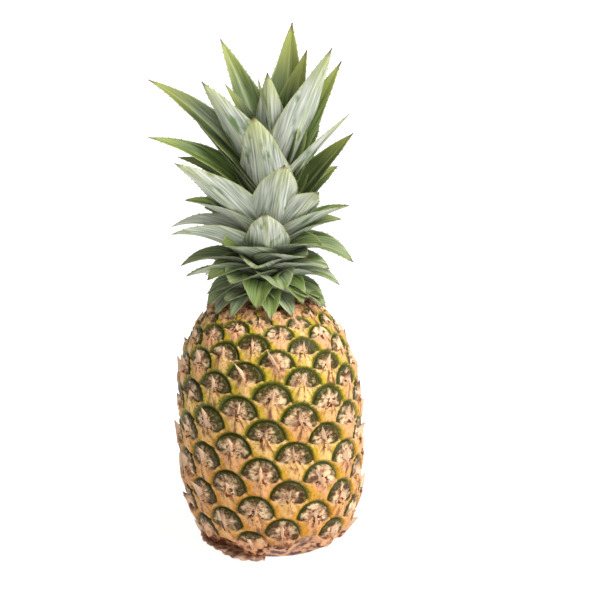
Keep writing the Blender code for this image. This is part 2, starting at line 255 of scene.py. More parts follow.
# Side leaves are rolled about their own line, the lowest less than the rest. A leaf takes the silver roll,
# which turns its underside to the front, where its root's height is in the first 2 mm of every 4 and it
# faces no further round than the last angle here. Else it takes the green roll, the other way
SILVER_ROLL = math.radians(30)
GREEN_ROLL = 0.6 * SILVER_ROLL
FULL_ROLL_HEIGHT = 20
SILVER_BAND = 2
SILVER_EVERY = 4
SILVER_WITHIN = math.radians(105)

# Spines stand along the margins at these stations, lean towards the leaf's tip and sink in by the inset
SPINE_SPACING = 4.2 * MM
SPINE_RADIUS = 0.36 * MM
SPINE_LENGTH = 1.5 * MM
SPINE_STATIONS = slice(6, LEAF_STATIONS - 3)
SPINE_LEAN = 1.1
SPINE_INSET = 0.15 * MM

# Dried bracts at the foot of the fruit as (first turn, last turn, reach, edge height at each turn)
# in degrees and mm
FOOT_BRACTS = (
    (-74, -40, 55.5, 12.0, 4.5),
    (-50, -8, 53.5, 3.6, 1.8),
    (98, 134, 52.0, 5.0, 7.0),
)
BRACT_ROOT_RADIUS = 0.031
BRACT_ROOT_HEIGHT = 0.0050
BRACT_THICKNESS = 0.0010
BRACT_POINT = 0.0045
BRACT_COLUMNS = 26
BRACT_ROWS = 12
BRACT_TEAR = 0.0011
BRACT_RIPPLE = 0.0005
RIPPLE_ACROSS = 31
RIPPLE_ALONG = 4
BRACT_CLEARANCE = 0.0006

# The photograph's view: the camera stands before the fruit's middle, above it, and looks down on it
CAMERA_PLACE = Vector((0.0, -1.1476, 0.4349))
CAMERA_PITCH = math.radians(13.23)
CAMERA_TURN = math.radians(0.85)
CAMERA_LENS = 107.4
SENSOR_WIDTH = 36.0

# The sky is white to the camera, and lights the fruit with this strength
SKY_LIGHT = 0.32


# Helpers


def colour(code):
    """An sRGB hex colour as linear red, green, blue and alpha."""
    parts = [int(code[i:i + 2], 16) / 255 for i in (1, 3, 5)]
    linear = [c / 12.92 if c <= 0.04045 else ((c + 0.055) / 1.055) ** 2.4 for c in parts]
    return (*linear, 1.0)


def add(tree, kind, inputs=(), **settings):
    """Adds a node with its settings. Each input is filled by a value, a socket or a node's first output."""
    node = tree.nodes.new(kind)
    for name, value in settings.items():
        setattr(node, name, value)
    for key, value in dict(inputs).items():
        if isinstance(key, str):
            socket = next(s for s in node.inputs if s.enabled and s.name == key)
        else:
            socket = node.inputs[key]
        if isinstance(value, bpy.types.Node):
            value = next(s for s in value.outputs if s.enabled)
        if isinstance(value, bpy.types.NodeSocket):
            tree.links.new(value, socket)
        else:
            socket.default_value = value
    return node


def link_object(name, mesh, material=None):
    obj = bpy.data.objects.new(name, mesh)
    bpy.context.scene.collection.objects.link(obj)
    if material:
        mesh.materials.append(material)
    return obj


def new_attribute(mesh, name, kind, domain, values):
    """Writes an array of numbers as an attribute of the mesh."""
    attribute = mesh.attributes.new(name, kind, domain)
    field = "vector" if kind == "FLOAT_VECTOR" else "value"
    attribute.data.foreach_set(field, np.asarray(values, dtype=np.float32).ravel())


def new_group(name, result, inputs):
    """A Geometry Nodes tree with one output and named inputs, each of its kind, and the inputs' sockets."""
    tree = bpy.data.node_groups.new(name, "GeometryNodeTree")
    for socket, kind in inputs.items():
        tree.interface.new_socket(socket, in_out="INPUT", socket_type="NodeSocket" + kind)
    tree.interface.new_socket(result, in_out="OUTPUT", socket_type="NodeSocketGeometry")
    return tree, add(tree, "NodeGroupInput").outputs


def applied(obj):
    """The object's mesh as its modifiers make it."""
    graph = bpy.context.evaluated_depsgraph_get()
    return bpy.data.meshes.new_from_object(obj.evaluated_get(graph))


def grown(name, base, tree, values):
    """Runs a Geometry Nodes tree on the base mesh and gives the result as a plain object."""
    carrier = link_object(name, base)
    modifier = carrier.modifiers.new("nodes", "NODES")
    modifier.node_group = tree
    sockets = {item.name: item.identifier for item in tree.interface.items_tree if item.in_out == "INPUT"}
    for key, value in values.items():
        modifier[sockets[key]] = value
    mesh = applied(carrier)
    bpy.data.objects.remove(carrier)
    return link_object(name, mesh)


def mesh_of(bm, name):
    mesh = bpy.data.meshes.new(name)
    bm.to_mesh(mesh)
    bm.free()
    return mesh


def smooth(x):
    x = np.clip(x, 0, 1)
    return x * x * (3 - 2 * x)


# Rind


def body_radius(height):
    share = (height - BODY_MIDDLE) / BODY_HALF_HEIGHT
    roundness = np.where(share > 0, TOP_ROUNDNESS, BASE_ROUNDNESS)
    return BODY_RADIUS * (1 - np.abs(share) ** roundness) ** (1 / roundness)


def skin_table():
    """Heights up the body's side and the climb at each."""
    height = np.linspace(0.0005, SEAT_HEIGHT - 0.0005, 1500)
    radius = body_radius(height)
    arc = np.hypot(np.diff(height), np.diff(radius))
    share = 1 / (radius * (1 - CLIMB_SHRINK * (height - MEASURED_HEIGHT)))
    climb = np.concatenate([[0.0], np.cumsum(arc * (share[1:] + share[:-1]) / 2)])
    return height, climb


def body_side():
    """The body's side as a line of points at equal steps of climb: radius along x, height along z."""
    height, climb = skin_table()
    steps = np.arange(0, climb[-1], TABLE_STEP)
    heights = np.interp(steps, climb, height)
    points = [(float(body_radius(h)), 0.0, float(h)) for h in heights]
    mesh = bpy.data.meshes.new("body side")
    mesh.from_pydata(points, [(i, i + 1) for i in range(len(points) - 1)], [])
    return mesh


def eye_run():
    """The first eye's turn and climb, and how many eyes follow it up the spiral."""
    height, climb = skin_table()
    front_climb = float(np.interp(MEASURED_HEIGHT, height, climb)) + EYE_ON_FRONT_CLIMB
    first = math.ceil((float(np.interp(LOWEST_EYE, height, climb)) - front_climb) / EYE_CLIMB)
    last = math.floor((float(np.interp(HIGHEST_EYE, height, climb)) - front_climb) / EYE_CLIMB)
    return EYE_ON_FRONT + first * EYE_TURN, front_climb + first * EYE_CLIMB, last - first + 1


def neighbour(steps):
    """The offset (turn, climb) to the eye that many steps further up the spiral, in cells."""
    turn = math.remainder(steps * EYE_TURN, 2 * math.pi)
    return np.array((turn, steps * EYE_CLIMB)) / CELL


def on_rim(angle):
    return RIM_RADIUS * np.array((math.cos(angle), math.sin(angle)))


def rim_arc(first, last):
    count = max(round(abs(last - first) / RIM_STEP), 1)
    return [on_rim(angle) for angle in np.linspace(first, last, count + 1)]


def eye_outline():
    """The points round an eye anticlockwise from its right horn's tip, and the depth of each in mm.

    The rim is a circle, and the bract's two horns reach out between the rims of the eyes beside it. Each
    lower side is the upper side of the eye below it, so that the eyes fit together.
    """
    right, above, left = (neighbour(steps) for steps in NEIGHBOUR_STEPS)
    right_tip = on_rim(LEFT_NOTCH) - left
    left_tip = on_rim(RIGHT_NOTCH) - right
    share = np.arange(HORN_STEPS)[:, None] / HORN_STEPS
    right_horn = list(right_tip + (on_rim(RIGHT_HORN) - right_tip) * share)
    left_horn = list(left_tip + (on_rim(LEFT_HORN) - left_tip) * share)[::-1]
    sides = (
        (right_horn + rim_arc(RIGHT_HORN, RIGHT_NOTCH), right),
        (rim_arc(RIGHT_NOTCH, LEFT_NOTCH), above),
        (rim_arc(LEFT_NOTCH, LEFT_HORN) + left_horn, left),
    )
    upper = []
    lower = []
    for side, towards in sides:
        depths = [GROOVE_DEPTH if np.hypot(*p) < RIM_RADIUS + 0.001 else SEAM_DEPTH for p in side]
        depths[0] = depths[-1] = GROOVE_DEPTH
        upper += list(zip(side, depths))[:-1]
        lower += [(point - towards, depth) for point, depth in zip(side, depths)][:0:-1]
    points, depths = zip(*upper, *lower)
    return np.array(points), np.array(depths)


def distance(points, line):
    """How far each point is from a line of points, positive on its left side."""
    start = line[:-1]
    run = line[1:] - start
    gap = points[:, None] - start[None]
    share = np.clip((gap * run).sum(-1) / (run * run).sum(-1), 0, 1)
    apart = gap - run * share[..., None]
    far = np.hypot(apart[..., 0], apart[..., 1])
    nearest = far.argmin(1)
    rows = np.arange(len(points))
    turned = run[nearest][:, 0] * gap[rows, nearest][:, 1] - run[nearest][:, 1] * gap[rows, nearest][:, 0]
    return far[rows, nearest] * np.sign(turned)


def eye_lift(spots, rim, low, edge):
    """The height of each spot over the skin, in mm."""
    across, up = spots.T
    lobes = 0
    for x, y, tall, wide in LOBES:
        lobes = lobes + tall * np.exp(-((across - x) ** 2 + (up - y) ** 2) / wide ** 2)
    angle = np.arctan2(across, up + 0.02)
    reach = np.hypot(across, up + 0.02)
    rays = RAY_HEIGHT * np.sin(angle * RAYS + 0.6) * smooth(reach / 0.10) * smooth((0.34 - reach) / 0.1)
    beads = BEAD_HEIGHT * np.sin(angle * BEADS) * smooth(1 - np.abs(rim - 2.6) / 1.7)
    disc = (GROOVE_DEPTH + RIM_HEIGHT) * smooth(rim / 1.1) - RIM_HEIGHT * smooth((rim - 1.2) / 3)
    disc += lobes + rays + beads - EDGE_HOLLOW * smooth(1 + edge / 1.8)
    ridge = RIDGE_HEIGHT * np.exp(-(across / 0.12) ** 2) * smooth((up + 0.52) / 0.42)
    spread = np.arctan2(across, 0.16 - up)
    fold = FOLD_HEIGHT * np.sin(spread * FOLDS) * smooth((up + 0.5) / 0.3)
    bract = (GROOVE_DEPTH + BRACT_HEIGHT) * smooth(low / 2.2) + (ridge + fold) * smooth(low / 3)
    raised = smooth((edge + 0.4) / 0.8)
    return disc * (1 - raised) + bract * raised - GROOVE_DEPTH


def eye_tile():
    """One eye laid flat, from rim to rim of its neighbours, with its markings as attributes."""
    outline, depths = eye_outline()
    across, up = zip(*BRACT_EDGE)
    arc = np.array(rim_arc(RIGHT_HORN, LEFT_HORN)[1:-1])
    rows = [arc * (1 - row / RIM_RADIUS) for row in RIM_ROWS]
    sweep = np.linspace(-EDGE_REACH, EDGE_REACH, EDGE_POINTS)
    rows += [np.stack([sweep, np.interp(sweep, across, up) + row], 1) for row in EDGE_ROWS]
    for number, height in enumerate(np.arange(*SHEET_UP, GRID_STEP * math.sqrt(3) / 2)):
        line = np.arange(*SHEET_ACROSS, GRID_STEP) + GRID_STEP / 2 * (number % 2)
        rows.append(np.stack([line, np.full_like(line, height)], 1))
    border = np.concatenate([outline, outline[:1]])
    kept = list(outline)
    for spot in np.concatenate(rows):
        inside = distance(spot[None], border)[0]
        near = min(np.hypot(*(spot - other)) for other in kept)
        if inside > LEAST_INSET and near > LEAST_GAP:
            kept.append(spot)
    spots = np.array(kept)
    ring = [list(range(len(outline)))]
    result = delaunay_2d_cdt([Vector(p) for p in spots], [], ring, 1, 1e-7)
    order = [origin[0] for origin in result[3]]
    faces = [[order[i] for i in face] for face in result[2]]
    rim = (RIM_RADIUS - np.hypot(*spots.T)) * CELL_MM
    below = [spots + neighbour(steps) for steps in NEIGHBOUR_STEPS]
    low = (np.min([np.hypot(*away.T) for away in below], axis=0) - RIM_RADIUS) * CELL_MM
    edge = (np.interp(spots[:, 0], across, up) - spots[:, 1]) * CELL_MM
    inner = distance(spots, border) * CELL_MM
    lift = eye_lift(spots, rim, low, edge)
    rims = len(outline)
    blend = smooth(inner[rims:] / 0.9)
    lift[rims:] = lift[rims:] * blend - SEAM_DEPTH * (1 - blend)
    lift[:rims] = -depths
    mesh = bpy.data.meshes.new("eye tile")
    mesh.from_pydata([(x * CELL, y * CELL, z * MM) for (x, y), z in zip(spots, lift)], [], faces)
    corners = [loop.vertex_index for loop in mesh.loops]
    places = np.column_stack([spots, np.zeros(len(spots))])
    new_attribute(mesh, "eye_place", "FLOAT_VECTOR", "CORNER", places[corners])
    marks = np.column_stack([rim, low, edge])
    new_attribute(mesh, "eye_marks", "FLOAT_VECTOR", "CORNER", marks[corners])
    free = smooth(inner / 4)
    free[:rims] = 0
    new_attribute(mesh, "free", "FLOAT", "POINT", free)
    return mesh


def pointed_blade(name, half_width, foot, tip, rise, lift):
    """A dry blade laid flat over its eye, broad at its foot, which narrows to a point that stands off."""
    points = []
    shares = []
    for along in np.linspace(0, 1, BLADE_STATIONS, endpoint=False):
        half = half_width * sum(share * (1 - along) ** power for share, power in BLADE_WIDTHS) * CELL
        crest = (rise + lift * along ** 1.5) * MM
        thick = (BLADE_THICK - BLADE_THINNING * along) * MM
        low = crest - BLADE_CURL * half
        y = (foot + (tip - foot) * along) * CELL
        points += [(-half, y, low), (0, y, crest - thick), (half, y, low), (0, y, crest + thick)]
        shares += [along] * 4
    points.append((0, tip * CELL, (rise + lift) * MM))
    shares.append(1.0)
    last = len(points) - 1
    faces = [(0, 1, 2, 3)]
    for i in range(BLADE_STATIONS - 1):
        for j in range(4):
            a = 4 * i + j
            b = 4 * i + (j + 1) % 4
            faces.append((a, a + 4, b + 4, b))
    faces += [(last - 4 + j, last, last - 4 + (j + 1) % 4) for j in range(4)]
    mesh = bpy.data.meshes.new(name)
    mesh.from_pydata(points, [], faces)
    mesh.set_sharp_from_angle(angle=SHARP_MARGIN)
    new_attribute(mesh, "free", "FLOAT", "POINT", [share ** 2 for share in shares])
    new_attribute(mesh, "along", "FLOAT", "POINT", shares)
    return link_object(name, mesh)


def spiral_tree():
    """Sets a piece at every eye of the spiral, each a little different, and lays them round the body."""
    tree, given = new_group("eyes on a spiral", "Skin", {
        "Body side": "Geometry", "Piece": "Object", "Material": "Material", "Count": "Int",
        "First turn": "Float", "First climb": "Float", "Turn step": "Float", "Climb step": "Float",
        "Slant": "Float", "Least size": "Float", "Shift": "Float", "Swell": "Float", "Wrinkle": "Float",
        "Seed": "Int",
    })
    index = add(tree, "GeometryNodeInputIndex")
    turn = add(tree, "ShaderNodeMath", {0: index, 1: given["Turn step"], 2: given["First turn"]},
               operation="MULTIPLY_ADD")
    climb = add(tree, "ShaderNodeMath", {0: index, 1: given["Climb step"], 2: given["First climb"]},
                operation="MULTIPLY_ADD")
    place = add(tree, "ShaderNodeCombineXYZ", {0: turn, 1: climb})
    points = add(tree, "GeometryNodePoints", {"Count": given["Count"], "Position": place})
    chance = add(tree, "FunctionNodeRandomValue", {"ID": index, "Seed": given["Seed"]},
                 data_type="FLOAT_VECTOR")
    points = add(tree, "GeometryNodeStoreNamedAttribute",
                 {"Geometry": points, "Name": "eye_chance", "Value": chance},
                 data_type="FLOAT_VECTOR", domain="POINT")
    slant = add(tree, "FunctionNodeRandomValue",
                {2: -1.0, 3: 1.0, "ID": index, "Seed": given["Seed"]}, data_type="FLOAT")
    slant = add(tree, "ShaderNodeMath", {0: slant, 1: given["Slant"]}, operation="MULTIPLY")
    slant = add(tree, "ShaderNodeCombineXYZ", {2: slant})
    slant = add(tree, "FunctionNodeEulerToRotation", {0: slant})
    size = add(tree, "FunctionNodeRandomValue",
               {2: given["Least size"], 3: 1.0, "ID": index, "Seed": given["Seed"]}, data_type="FLOAT")
    piece = add(tree, "GeometryNodeObjectInfo", {"Object": given["Piece"]})
    pieces = add(tree, "GeometryNodeInstanceOnPoints",
                 {"Points": points, "Instance": piece.outputs["Geometry"], "Rotation": slant, "Scale": size})
    pieces = add(tree, "GeometryNodeRealizeInstances", {"Geometry": pieces})
    chance = add(tree, "GeometryNodeInputNamedAttribute", {"Name": "eye_chance"}, data_type="FLOAT_VECTOR")
    pieces = add(tree, "GeometryNodeStoreNamedAttribute",
                 {"Geometry": pieces, "Name": "eye_chance", "Value": chance},
                 data_type="FLOAT_VECTOR", domain="FACE")

    # Inside its rim each eye is shifted and swollen by its own draw
    free = add(tree, "GeometryNodeInputNamedAttribute", {"Name": "free"}, data_type="FLOAT")
    chance = add(tree, "GeometryNodeInputNamedAttribute", {"Name": "eye_chance"}, data_type="FLOAT_VECTOR")
    drawn = add(tree, "ShaderNodeVectorMath", {0: chance, 1: (0.5, 0.5, 0.5)}, operation="SUBTRACT")
    reach = add(tree, "ShaderNodeCombineXYZ",
                {0: given["Shift"], 1: given["Shift"], 2: given["Swell"]})
    drawn = add(tree, "ShaderNodeVectorMath", {0: drawn, 1: reach}, operation="MULTIPLY")
    drawn = add(tree, "ShaderNodeVectorMath", {0: drawn, 3: free}, operation="SCALE")
    pieces = add(tree, "GeometryNodeSetPosition", {"Geometry": pieces, "Offset": drawn})

    # The flat sheet goes round the body: turn, climb and lift become a place in space
    spot = add(tree, "ShaderNodeSeparateXYZ", {0: add(tree, "GeometryNodeInputPosition")})
    step = add(tree, "ShaderNodeMath", {0: spot.outputs[1], 1: TABLE_STEP}, operation="DIVIDE")
    whole = add(tree, "ShaderNodeMath", {0: step}, operation="FLOOR")
    part = add(tree, "ShaderNodeMath", {0: step, 1: whole}, operation="SUBTRACT")
    after = add(tree, "ShaderNodeMath", {0: whole, 1: 1.0}, operation="ADD")
    side = add(tree, "GeometryNodeInputPosition")
    here = add(tree, "GeometryNodeSampleIndex",
               {"Geometry": given["Body side"], "Value": side, "Index": whole},
               data_type="FLOAT_VECTOR", domain="POINT", clamp=True)
    there = add(tree, "GeometryNodeSampleIndex",
                {"Geometry": given["Body side"], "Value": side, "Index": after},
                data_type="FLOAT_VECTOR", domain="POINT", clamp=True)
    skin = add(tree, "ShaderNodeMix", {"Factor": part, "A": here, "B": there}, data_type="VECTOR")
    run = add(tree, "ShaderNodeVectorMath", {0: there, 1: here}, operation="SUBTRACT")
    run = add(tree, "ShaderNodeVectorMath", {0: run, 1: (0.0, 1.0, 0.0)}, operation="CROSS_PRODUCT")
    outward = add(tree, "ShaderNodeVectorMath", {0: run, 3: -1.0}, operation="SCALE")
    outward = add(tree, "ShaderNodeVectorMath", {0: outward}, operation="NORMALIZE")
    radius = add(tree, "ShaderNodeSeparateXYZ", {0: skin})
    share = add(tree, "ShaderNodeMath", {0: radius, 1: BODY_RADIUS}, operation="DIVIDE")
    lift = add(tree, "ShaderNodeMath", {0: spot.outputs[2], 1: share}, operation="MULTIPLY")
    lifted = add(tree, "ShaderNodeVectorMath", {0: outward, 3: lift}, operation="SCALE")
    lifted = add(tree, "ShaderNodeVectorMath", {0: skin, 1: lifted}, operation="ADD")
    lifted = add(tree, "ShaderNodeSeparateXYZ", {0: lifted})
    height = add(tree, "ShaderNodeMath", {0: lifted.outputs[2], 1: 0.0}, operation="MAXIMUM")
    sine = add(tree, "ShaderNodeMath", {0: spot.outputs[0]}, operation="SINE")
    cosine = add(tree, "ShaderNodeMath", {0: spot.outputs[0]}, operation="COSINE")
    back = add(tree, "ShaderNodeMath", {0: lifted, 1: -1.0}, operation="MULTIPLY")
    across = add(tree, "ShaderNodeMath", {0: lifted, 1: sine}, operation="MULTIPLY")
    across = add(tree, "ShaderNodeMath", {0: height, 1: BODY_LEAN, 2: across}, operation="MULTIPLY_ADD")
    deep = add(tree, "ShaderNodeMath", {0: back, 1: cosine}, operation="MULTIPLY")
    wrapped = add(tree, "ShaderNodeCombineXYZ", {0: across, 1: deep, 2: height})
    pieces = add(tree, "GeometryNodeSetPosition", {"Geometry": pieces, "Position": wrapped})
    pieces = add(tree, "GeometryNodeMergeByDistance", {"Geometry": pieces, "Distance": MERGE_WITHIN})

    # Fine wrinkles of 3 mm along the skin's own normal, none on the rims
    noise = add(tree, "ShaderNodeTexNoise", {"Scale": 330.0, "Detail": 2.0}, noise_dimensions="3D")
    push = add(tree, "ShaderNodeMath", {0: noise, 1: 0.5}, operation="SUBTRACT")
    push = add(tree, "ShaderNodeMath", {0: push, 1: given["Wrinkle"]}, operation="MULTIPLY")
    push = add(tree, "ShaderNodeMath", {0: push, 1: free}, operation="MULTIPLY")
    normal = add(tree, "GeometryNodeInputNormal")
    push = add(tree, "ShaderNodeVectorMath", {0: normal, 3: push}, operation="SCALE")
    pieces = add(tree, "GeometryNodeSetPosition", {"Geometry": pieces, "Offset": push})
    pieces = add(tree, "GeometryNodeRemoveAttribute", {"Geometry": pieces, "Name": "free"})
    pieces = add(tree, "GeometryNodeSetShadeSmooth", {"Geometry": pieces})
    pieces = add(tree, "GeometryNodeSetMaterial", {"Geometry": pieces, "Material": given["Material"]})
    add(tree, "NodeGroupOutput", {0: pieces})
    return tree


def turn_of(point):
    return math.atan2(point.co.x - BODY_LEAN * point.co.z, -point.co.y)


def ordered_loop(edges):
    """The points of a closed chain of edges, in order."""
    chain = [min((point for edge in edges for point in edge.verts), key=turn_of)]
    edge = next(e for e in chain[0].link_edges if e in edges)
    while True:
        point = edge.other_vert(chain[-1])
        if point == chain[0]:
            return chain
        chain.append(point)
        edge = next(e for e in point.link_edges if e in edges and e is not edge)


def extend_loop(bm, edges, radius, height):
    """Draws a rim out to a ring of that radius and height, and gives the ring's edges."""
    chain = ordered_loop(edges)
    wound = sum(math.remainder(turn_of(b) - turn_of(a), 2 * math.pi)
                for a, b in zip(chain, chain[1:] + chain[:1]))
    step = math.copysign(2 * math.pi / len(chain), wound)
    offset = sum(math.remainder(turn_of(p) - turn_of(chain[0]) - i * step, 2 * math.pi)
                 for i, p in enumerate(chain)) / len(chain)
    start = turn_of(chain[0]) + offset
    places = {p: start + i * step for i, p in enumerate(chain)}
    made = bmesh.ops.extrude_edge_only(bm, edges=list(edges))["geom"]
    new_edges = {item for item in made if isinstance(item, bmesh.types.BMEdge) and item.is_boundary}
    for new in {point for edge in new_edges for point in edge.verts}:
        old = next(e.other_vert(new) for e in new.link_edges if e.other_vert(new) in places)
        turn = places[old]
        new.co = (radius * math.sin(turn) + BODY_LEAN * height, -radius * math.cos(turn), height)
    return new_edges


def close_ends(mesh, base_material):
    """Closes the rind below, round the hollow for the stem, and above, under the crown."""
    mesh.materials.append(base_material)
    bm = bmesh.new()
    bm.from_mesh(mesh)
    eyes = set(bm.faces)
    rims = {edge for edge in bm.edges if edge.is_boundary}
    low = {edge for edge in rims if edge.verts[0].co.z < BODY_MIDDLE}
    base = extend_loop(bm, low, REST_RADIUS, 0.0)
    base = extend_loop(bm, base, STEM_HOLE + STEM_TAPER, 0.0)
    base = extend_loop(bm, base, STEM_HOLE, STEM_HOLE_DEPTH)
    bmesh.ops.contextual_create(bm, geom=list(base))
    seat = extend_loop(bm, rims - low, SEAT_RADIUS, SEAT_HEIGHT)
    bmesh.ops.contextual_create(bm, geom=list(seat))
    for face in bm.faces:
        if face not in eyes:
            face.material_index = 1
    bmesh.ops.recalc_face_normals(bm, faces=bm.faces)
    bm.to_mesh(mesh)
    bm.free()


def make_rind(skin_material, tip_material, base_material, scale_material):
    first_turn, first_climb, count = eye_run()
    tree = spiral_tree()
    values = {
        "Count": count, "First turn": first_turn, "First climb": first_climb,
        "Turn step": EYE_TURN, "Climb step": EYE_CLIMB,
    }
    tile = link_object("eye", eye_tile())
    rind = grown("rind", body_side(), tree, {
        **values, "Piece": tile, "Material": skin_material, "Slant": 0.0, "Least size": 1.0,
        "Shift": 0.09 * CELL, "Swell": 1.3 * MM, "Wrinkle": 2.0 * MM, "Seed": 3,
    })
    close_ends(rind.data, base_material)
    blade = pointed_blade("tip", half_width=0.25, foot=-0.20, tip=0.50, rise=2.7, lift=1.5)
    tips = grown("bract_tips", body_side(), tree, {
        **values, "Piece": blade, "Material": tip_material, "Slant": math.radians(24), "Least size": 0.66,
        "Shift": 0.16 * CELL, "Swell": 4.0 * MM, "Wrinkle": 0.0, "Seed": 5,
    })
    flake = pointed_blade("scale", half_width=0.46, foot=-0.42, tip=0.30, rise=2.0, lift=3.4)
    below = count - DRIED_EYES
    scales = grown("dried_scales", body_side(), tree, {
        **values, "Count": DRIED_EYES, "First turn": first_turn + below * EYE_TURN,
        "First climb": first_climb + below * EYE_CLIMB, "Piece": flake, "Material": scale_material,
        "Slant": math.radians(30), "Least size": 0.7, "Shift": 0.3 * CELL, "Swell": 3.0 * MM, "Wrinkle": 0.0,
        "Seed": 8,
    })
    for template in (tile, blade, flake):
        bpy.data.objects.remove(template)
    return rind, tips, scales


def make_foot_bracts(material):
    """Dried bracts that spread from under the lowest eyes, papery and torn along their edge."""
    chance = random.Random(11)
    bm = bmesh.new()
    for first, last, reach, first_edge, last_edge in FOOT_BRACTS:
        grid = bmesh.ops.create_grid(bm, x_segments=BRACT_COLUMNS, y_segments=BRACT_ROWS, size=1)["verts"]
        tears = [chance.uniform(0.0, 1.0) for _ in range(BRACT_COLUMNS + 1)]
        for point in grid:
            across = (point.co.x + 1) / 2
            along = (point.co.y + 1) / 2
            turn = math.radians(first + (last - first) * across)
            edge = (first_edge + (last_edge - first_edge) * across) * MM
            tear = tears[round(across * BRACT_COLUMNS)] * BRACT_TEAR
            tip = reach * MM - BRACT_POINT * (2 * across - 1) ** 2 - tear
            ripple = BRACT_RIPPLE * math.sin(across * RIPPLE_ACROSS + along * RIPPLE_ALONG) * along
            radius = BRACT_ROOT_RADIUS + (tip - BRACT_ROOT_RADIUS) * along
            height = BRACT_ROOT_HEIGHT + (edge - BRACT_ROOT_HEIGHT) * along ** 2 + ripple
            point.co = (radius * math.sin(turn), -radius * math.cos(turn), max(height, BRACT_CLEARANCE))
    obj = link_object("foot_bracts", mesh_of(bm, "foot bracts"), material)
    shell = obj.modifiers.new("thickness", "SOLIDIFY")
    shell.thickness = BRACT_THICKNESS
    shell.offset = 0
    solid = applied(obj)
    obj.modifiers.remove(shell)
    obj.data = solid
    solid.shade_smooth()
    return obj


# Crown


def all_leaves():
    """The leaves in view from the list, then the rings behind, each leaf off its place by a seeded draw."""
    chance = random.Random(7)
    leaves = list(LEAVES)
    for ring, (root, reach, tip, width, arch, count) in enumerate(BACK_RINGS):
        for number in range(count):
            share = (number + 0.5) / count - 0.5
            turn = BACK_MIDDLE + BACK_SPREAD * share + RING_SHIFT * (-1) ** ring
            wander = 1 + chance.uniform(-LEAF_WANDER, LEAF_WANDER)
            height = root + (tip - root) * (1 + chance.uniform(-LEAF_WANDER, LEAF_WANDER))
            leaves.append((turn, root, turn, reach * wander, height, width, arch))
    return leaves


def towards(turn):
    return np.array((math.sin(turn), -math.cos(turn), 0.0))


def unit(rows):
    return rows / np.linalg.norm(rows, axis=-1, keepdims=True)


def leaf_blade(leaf, chance):
    """One leaf's rings of points from root to tip, with the places and side lines that go with them."""
    facing, root_height, turn, reach, tip_height, width, arch = leaf
    facing, turn = math.radians(facing), math.radians(turn)
    share = root_height * MM / CORE_HEIGHT
    core_radius = CORE_FOOT_RADIUS + (CORE_TOP_RADIUS - CORE_FOOT_RADIUS) * share
    root = CORE_FOOT + CORE_AXIS * root_height * MM + towards(facing) * (core_radius - ROOT_SINK)
    tip = CORE_FOOT + CORE_AXIS * tip_height * MM + towards(turn) * reach * MM
    length = float(np.linalg.norm(tip - root))
    along = 1 - (1 - np.linspace(0, 1, LEAF_STATIONS)) ** TIP_CROWDING
    lift = np.array((0, 0, arch * length * 4 / 3))
    first = root + (tip - root) / 3 + lift
    second = root + (tip - root) * 2 / 3 + lift
    s = along[:, None]
    middle = root * (1 - s) ** 3 + first * 3 * (1 - s) ** 2 * s
    middle = middle + second * 3 * (1 - s) * s ** 2 + tip * s ** 3
    tangent = unit(np.gradient(middle, along, axis=0))
    edge = np.array((math.cos(facing), math.sin(facing), 0.0))
    side = unit(edge - tangent * (tangent @ edge)[:, None])
    sway = chance.uniform(-1, 1) * LEAF_SWAY * length * np.sin(math.pi * along) ** 2
    middle = middle + side * sway[:, None]
    under = np.cross(side, tangent)
    shows_silver = root_height % SILVER_EVERY < SILVER_BAND and abs(facing) < SILVER_WITHIN
    roll = math.sin(facing) * min(1, root_height / FULL_ROLL_HEIGHT)
    roll *= SILVER_ROLL if shows_silver else -GREEN_ROLL
    twist = (roll + chance.uniform(-1, 1) * LEAF_TWIST * along ** 2)[:, None]
    side, under = side * np.cos(twist) + under * np.sin(twist), under * np.cos(twist) - side * np.sin(twist)
    fullness = min(max(SHORT_FULLNESS - LENGTH_SLIMMING * length, SLIMMEST), FULLEST)
    wide = np.minimum(1, LEAF_ROOT + LEAF_SWELL * along) * (1 - along ** fullness)
    half = np.maximum(width * LEAF_BREADTH * MM * wide, LEAF_TIP_WIDTH) / 2
    ripple = 1 + MARGIN_WAVE * np.sin(along * chance.uniform(14, 22) + chance.uniform(0, 6))
    across = np.array(LEAF_SECTION)[None]
    hollow = (np.sqrt(across ** 2 + FOLD_SOFTNESS) - FOLD_LEVEL) / FOLD_RISE
    depth = -hollow * (LEAF_CHANNEL * 2 * half * (1 - CHANNEL_LOSS * along))[:, None]
    thick = (LEAF_THICK * (1 - THICKNESS_LOSS * along[:, None]) - LEAF_THIN) * (1 - across ** 2) + LEAF_THIN
    thick[:, [0, -1]] = 0
    thick *= np.minimum(1, half[:, None] / THINNED_BELOW)
    blade = middle[:, None] + side[:, None] * (across * (half * ripple)[:, None])[..., None]
    lower = blade + under[:, None] * (depth + thick / 2)[..., None]
    upper = blade + under[:, None] * (depth - thick / 2)[..., None]
    rings = np.concatenate([lower, upper[:, -2:0:-1]], axis=1)
    sides = np.concatenate([across[0], across[0][-2:0:-1]])
    places = np.empty(rings.shape)
    places[..., 0] = sides[None] * half[:, None]
    places[..., 1] = along[:, None] * length
    places[..., 2] = along[:, None]
    margins = (lower[:, 0], lower[:, -1], side, tangent)
    return rings, places, np.tile(sides, LEAF_STATIONS), margins


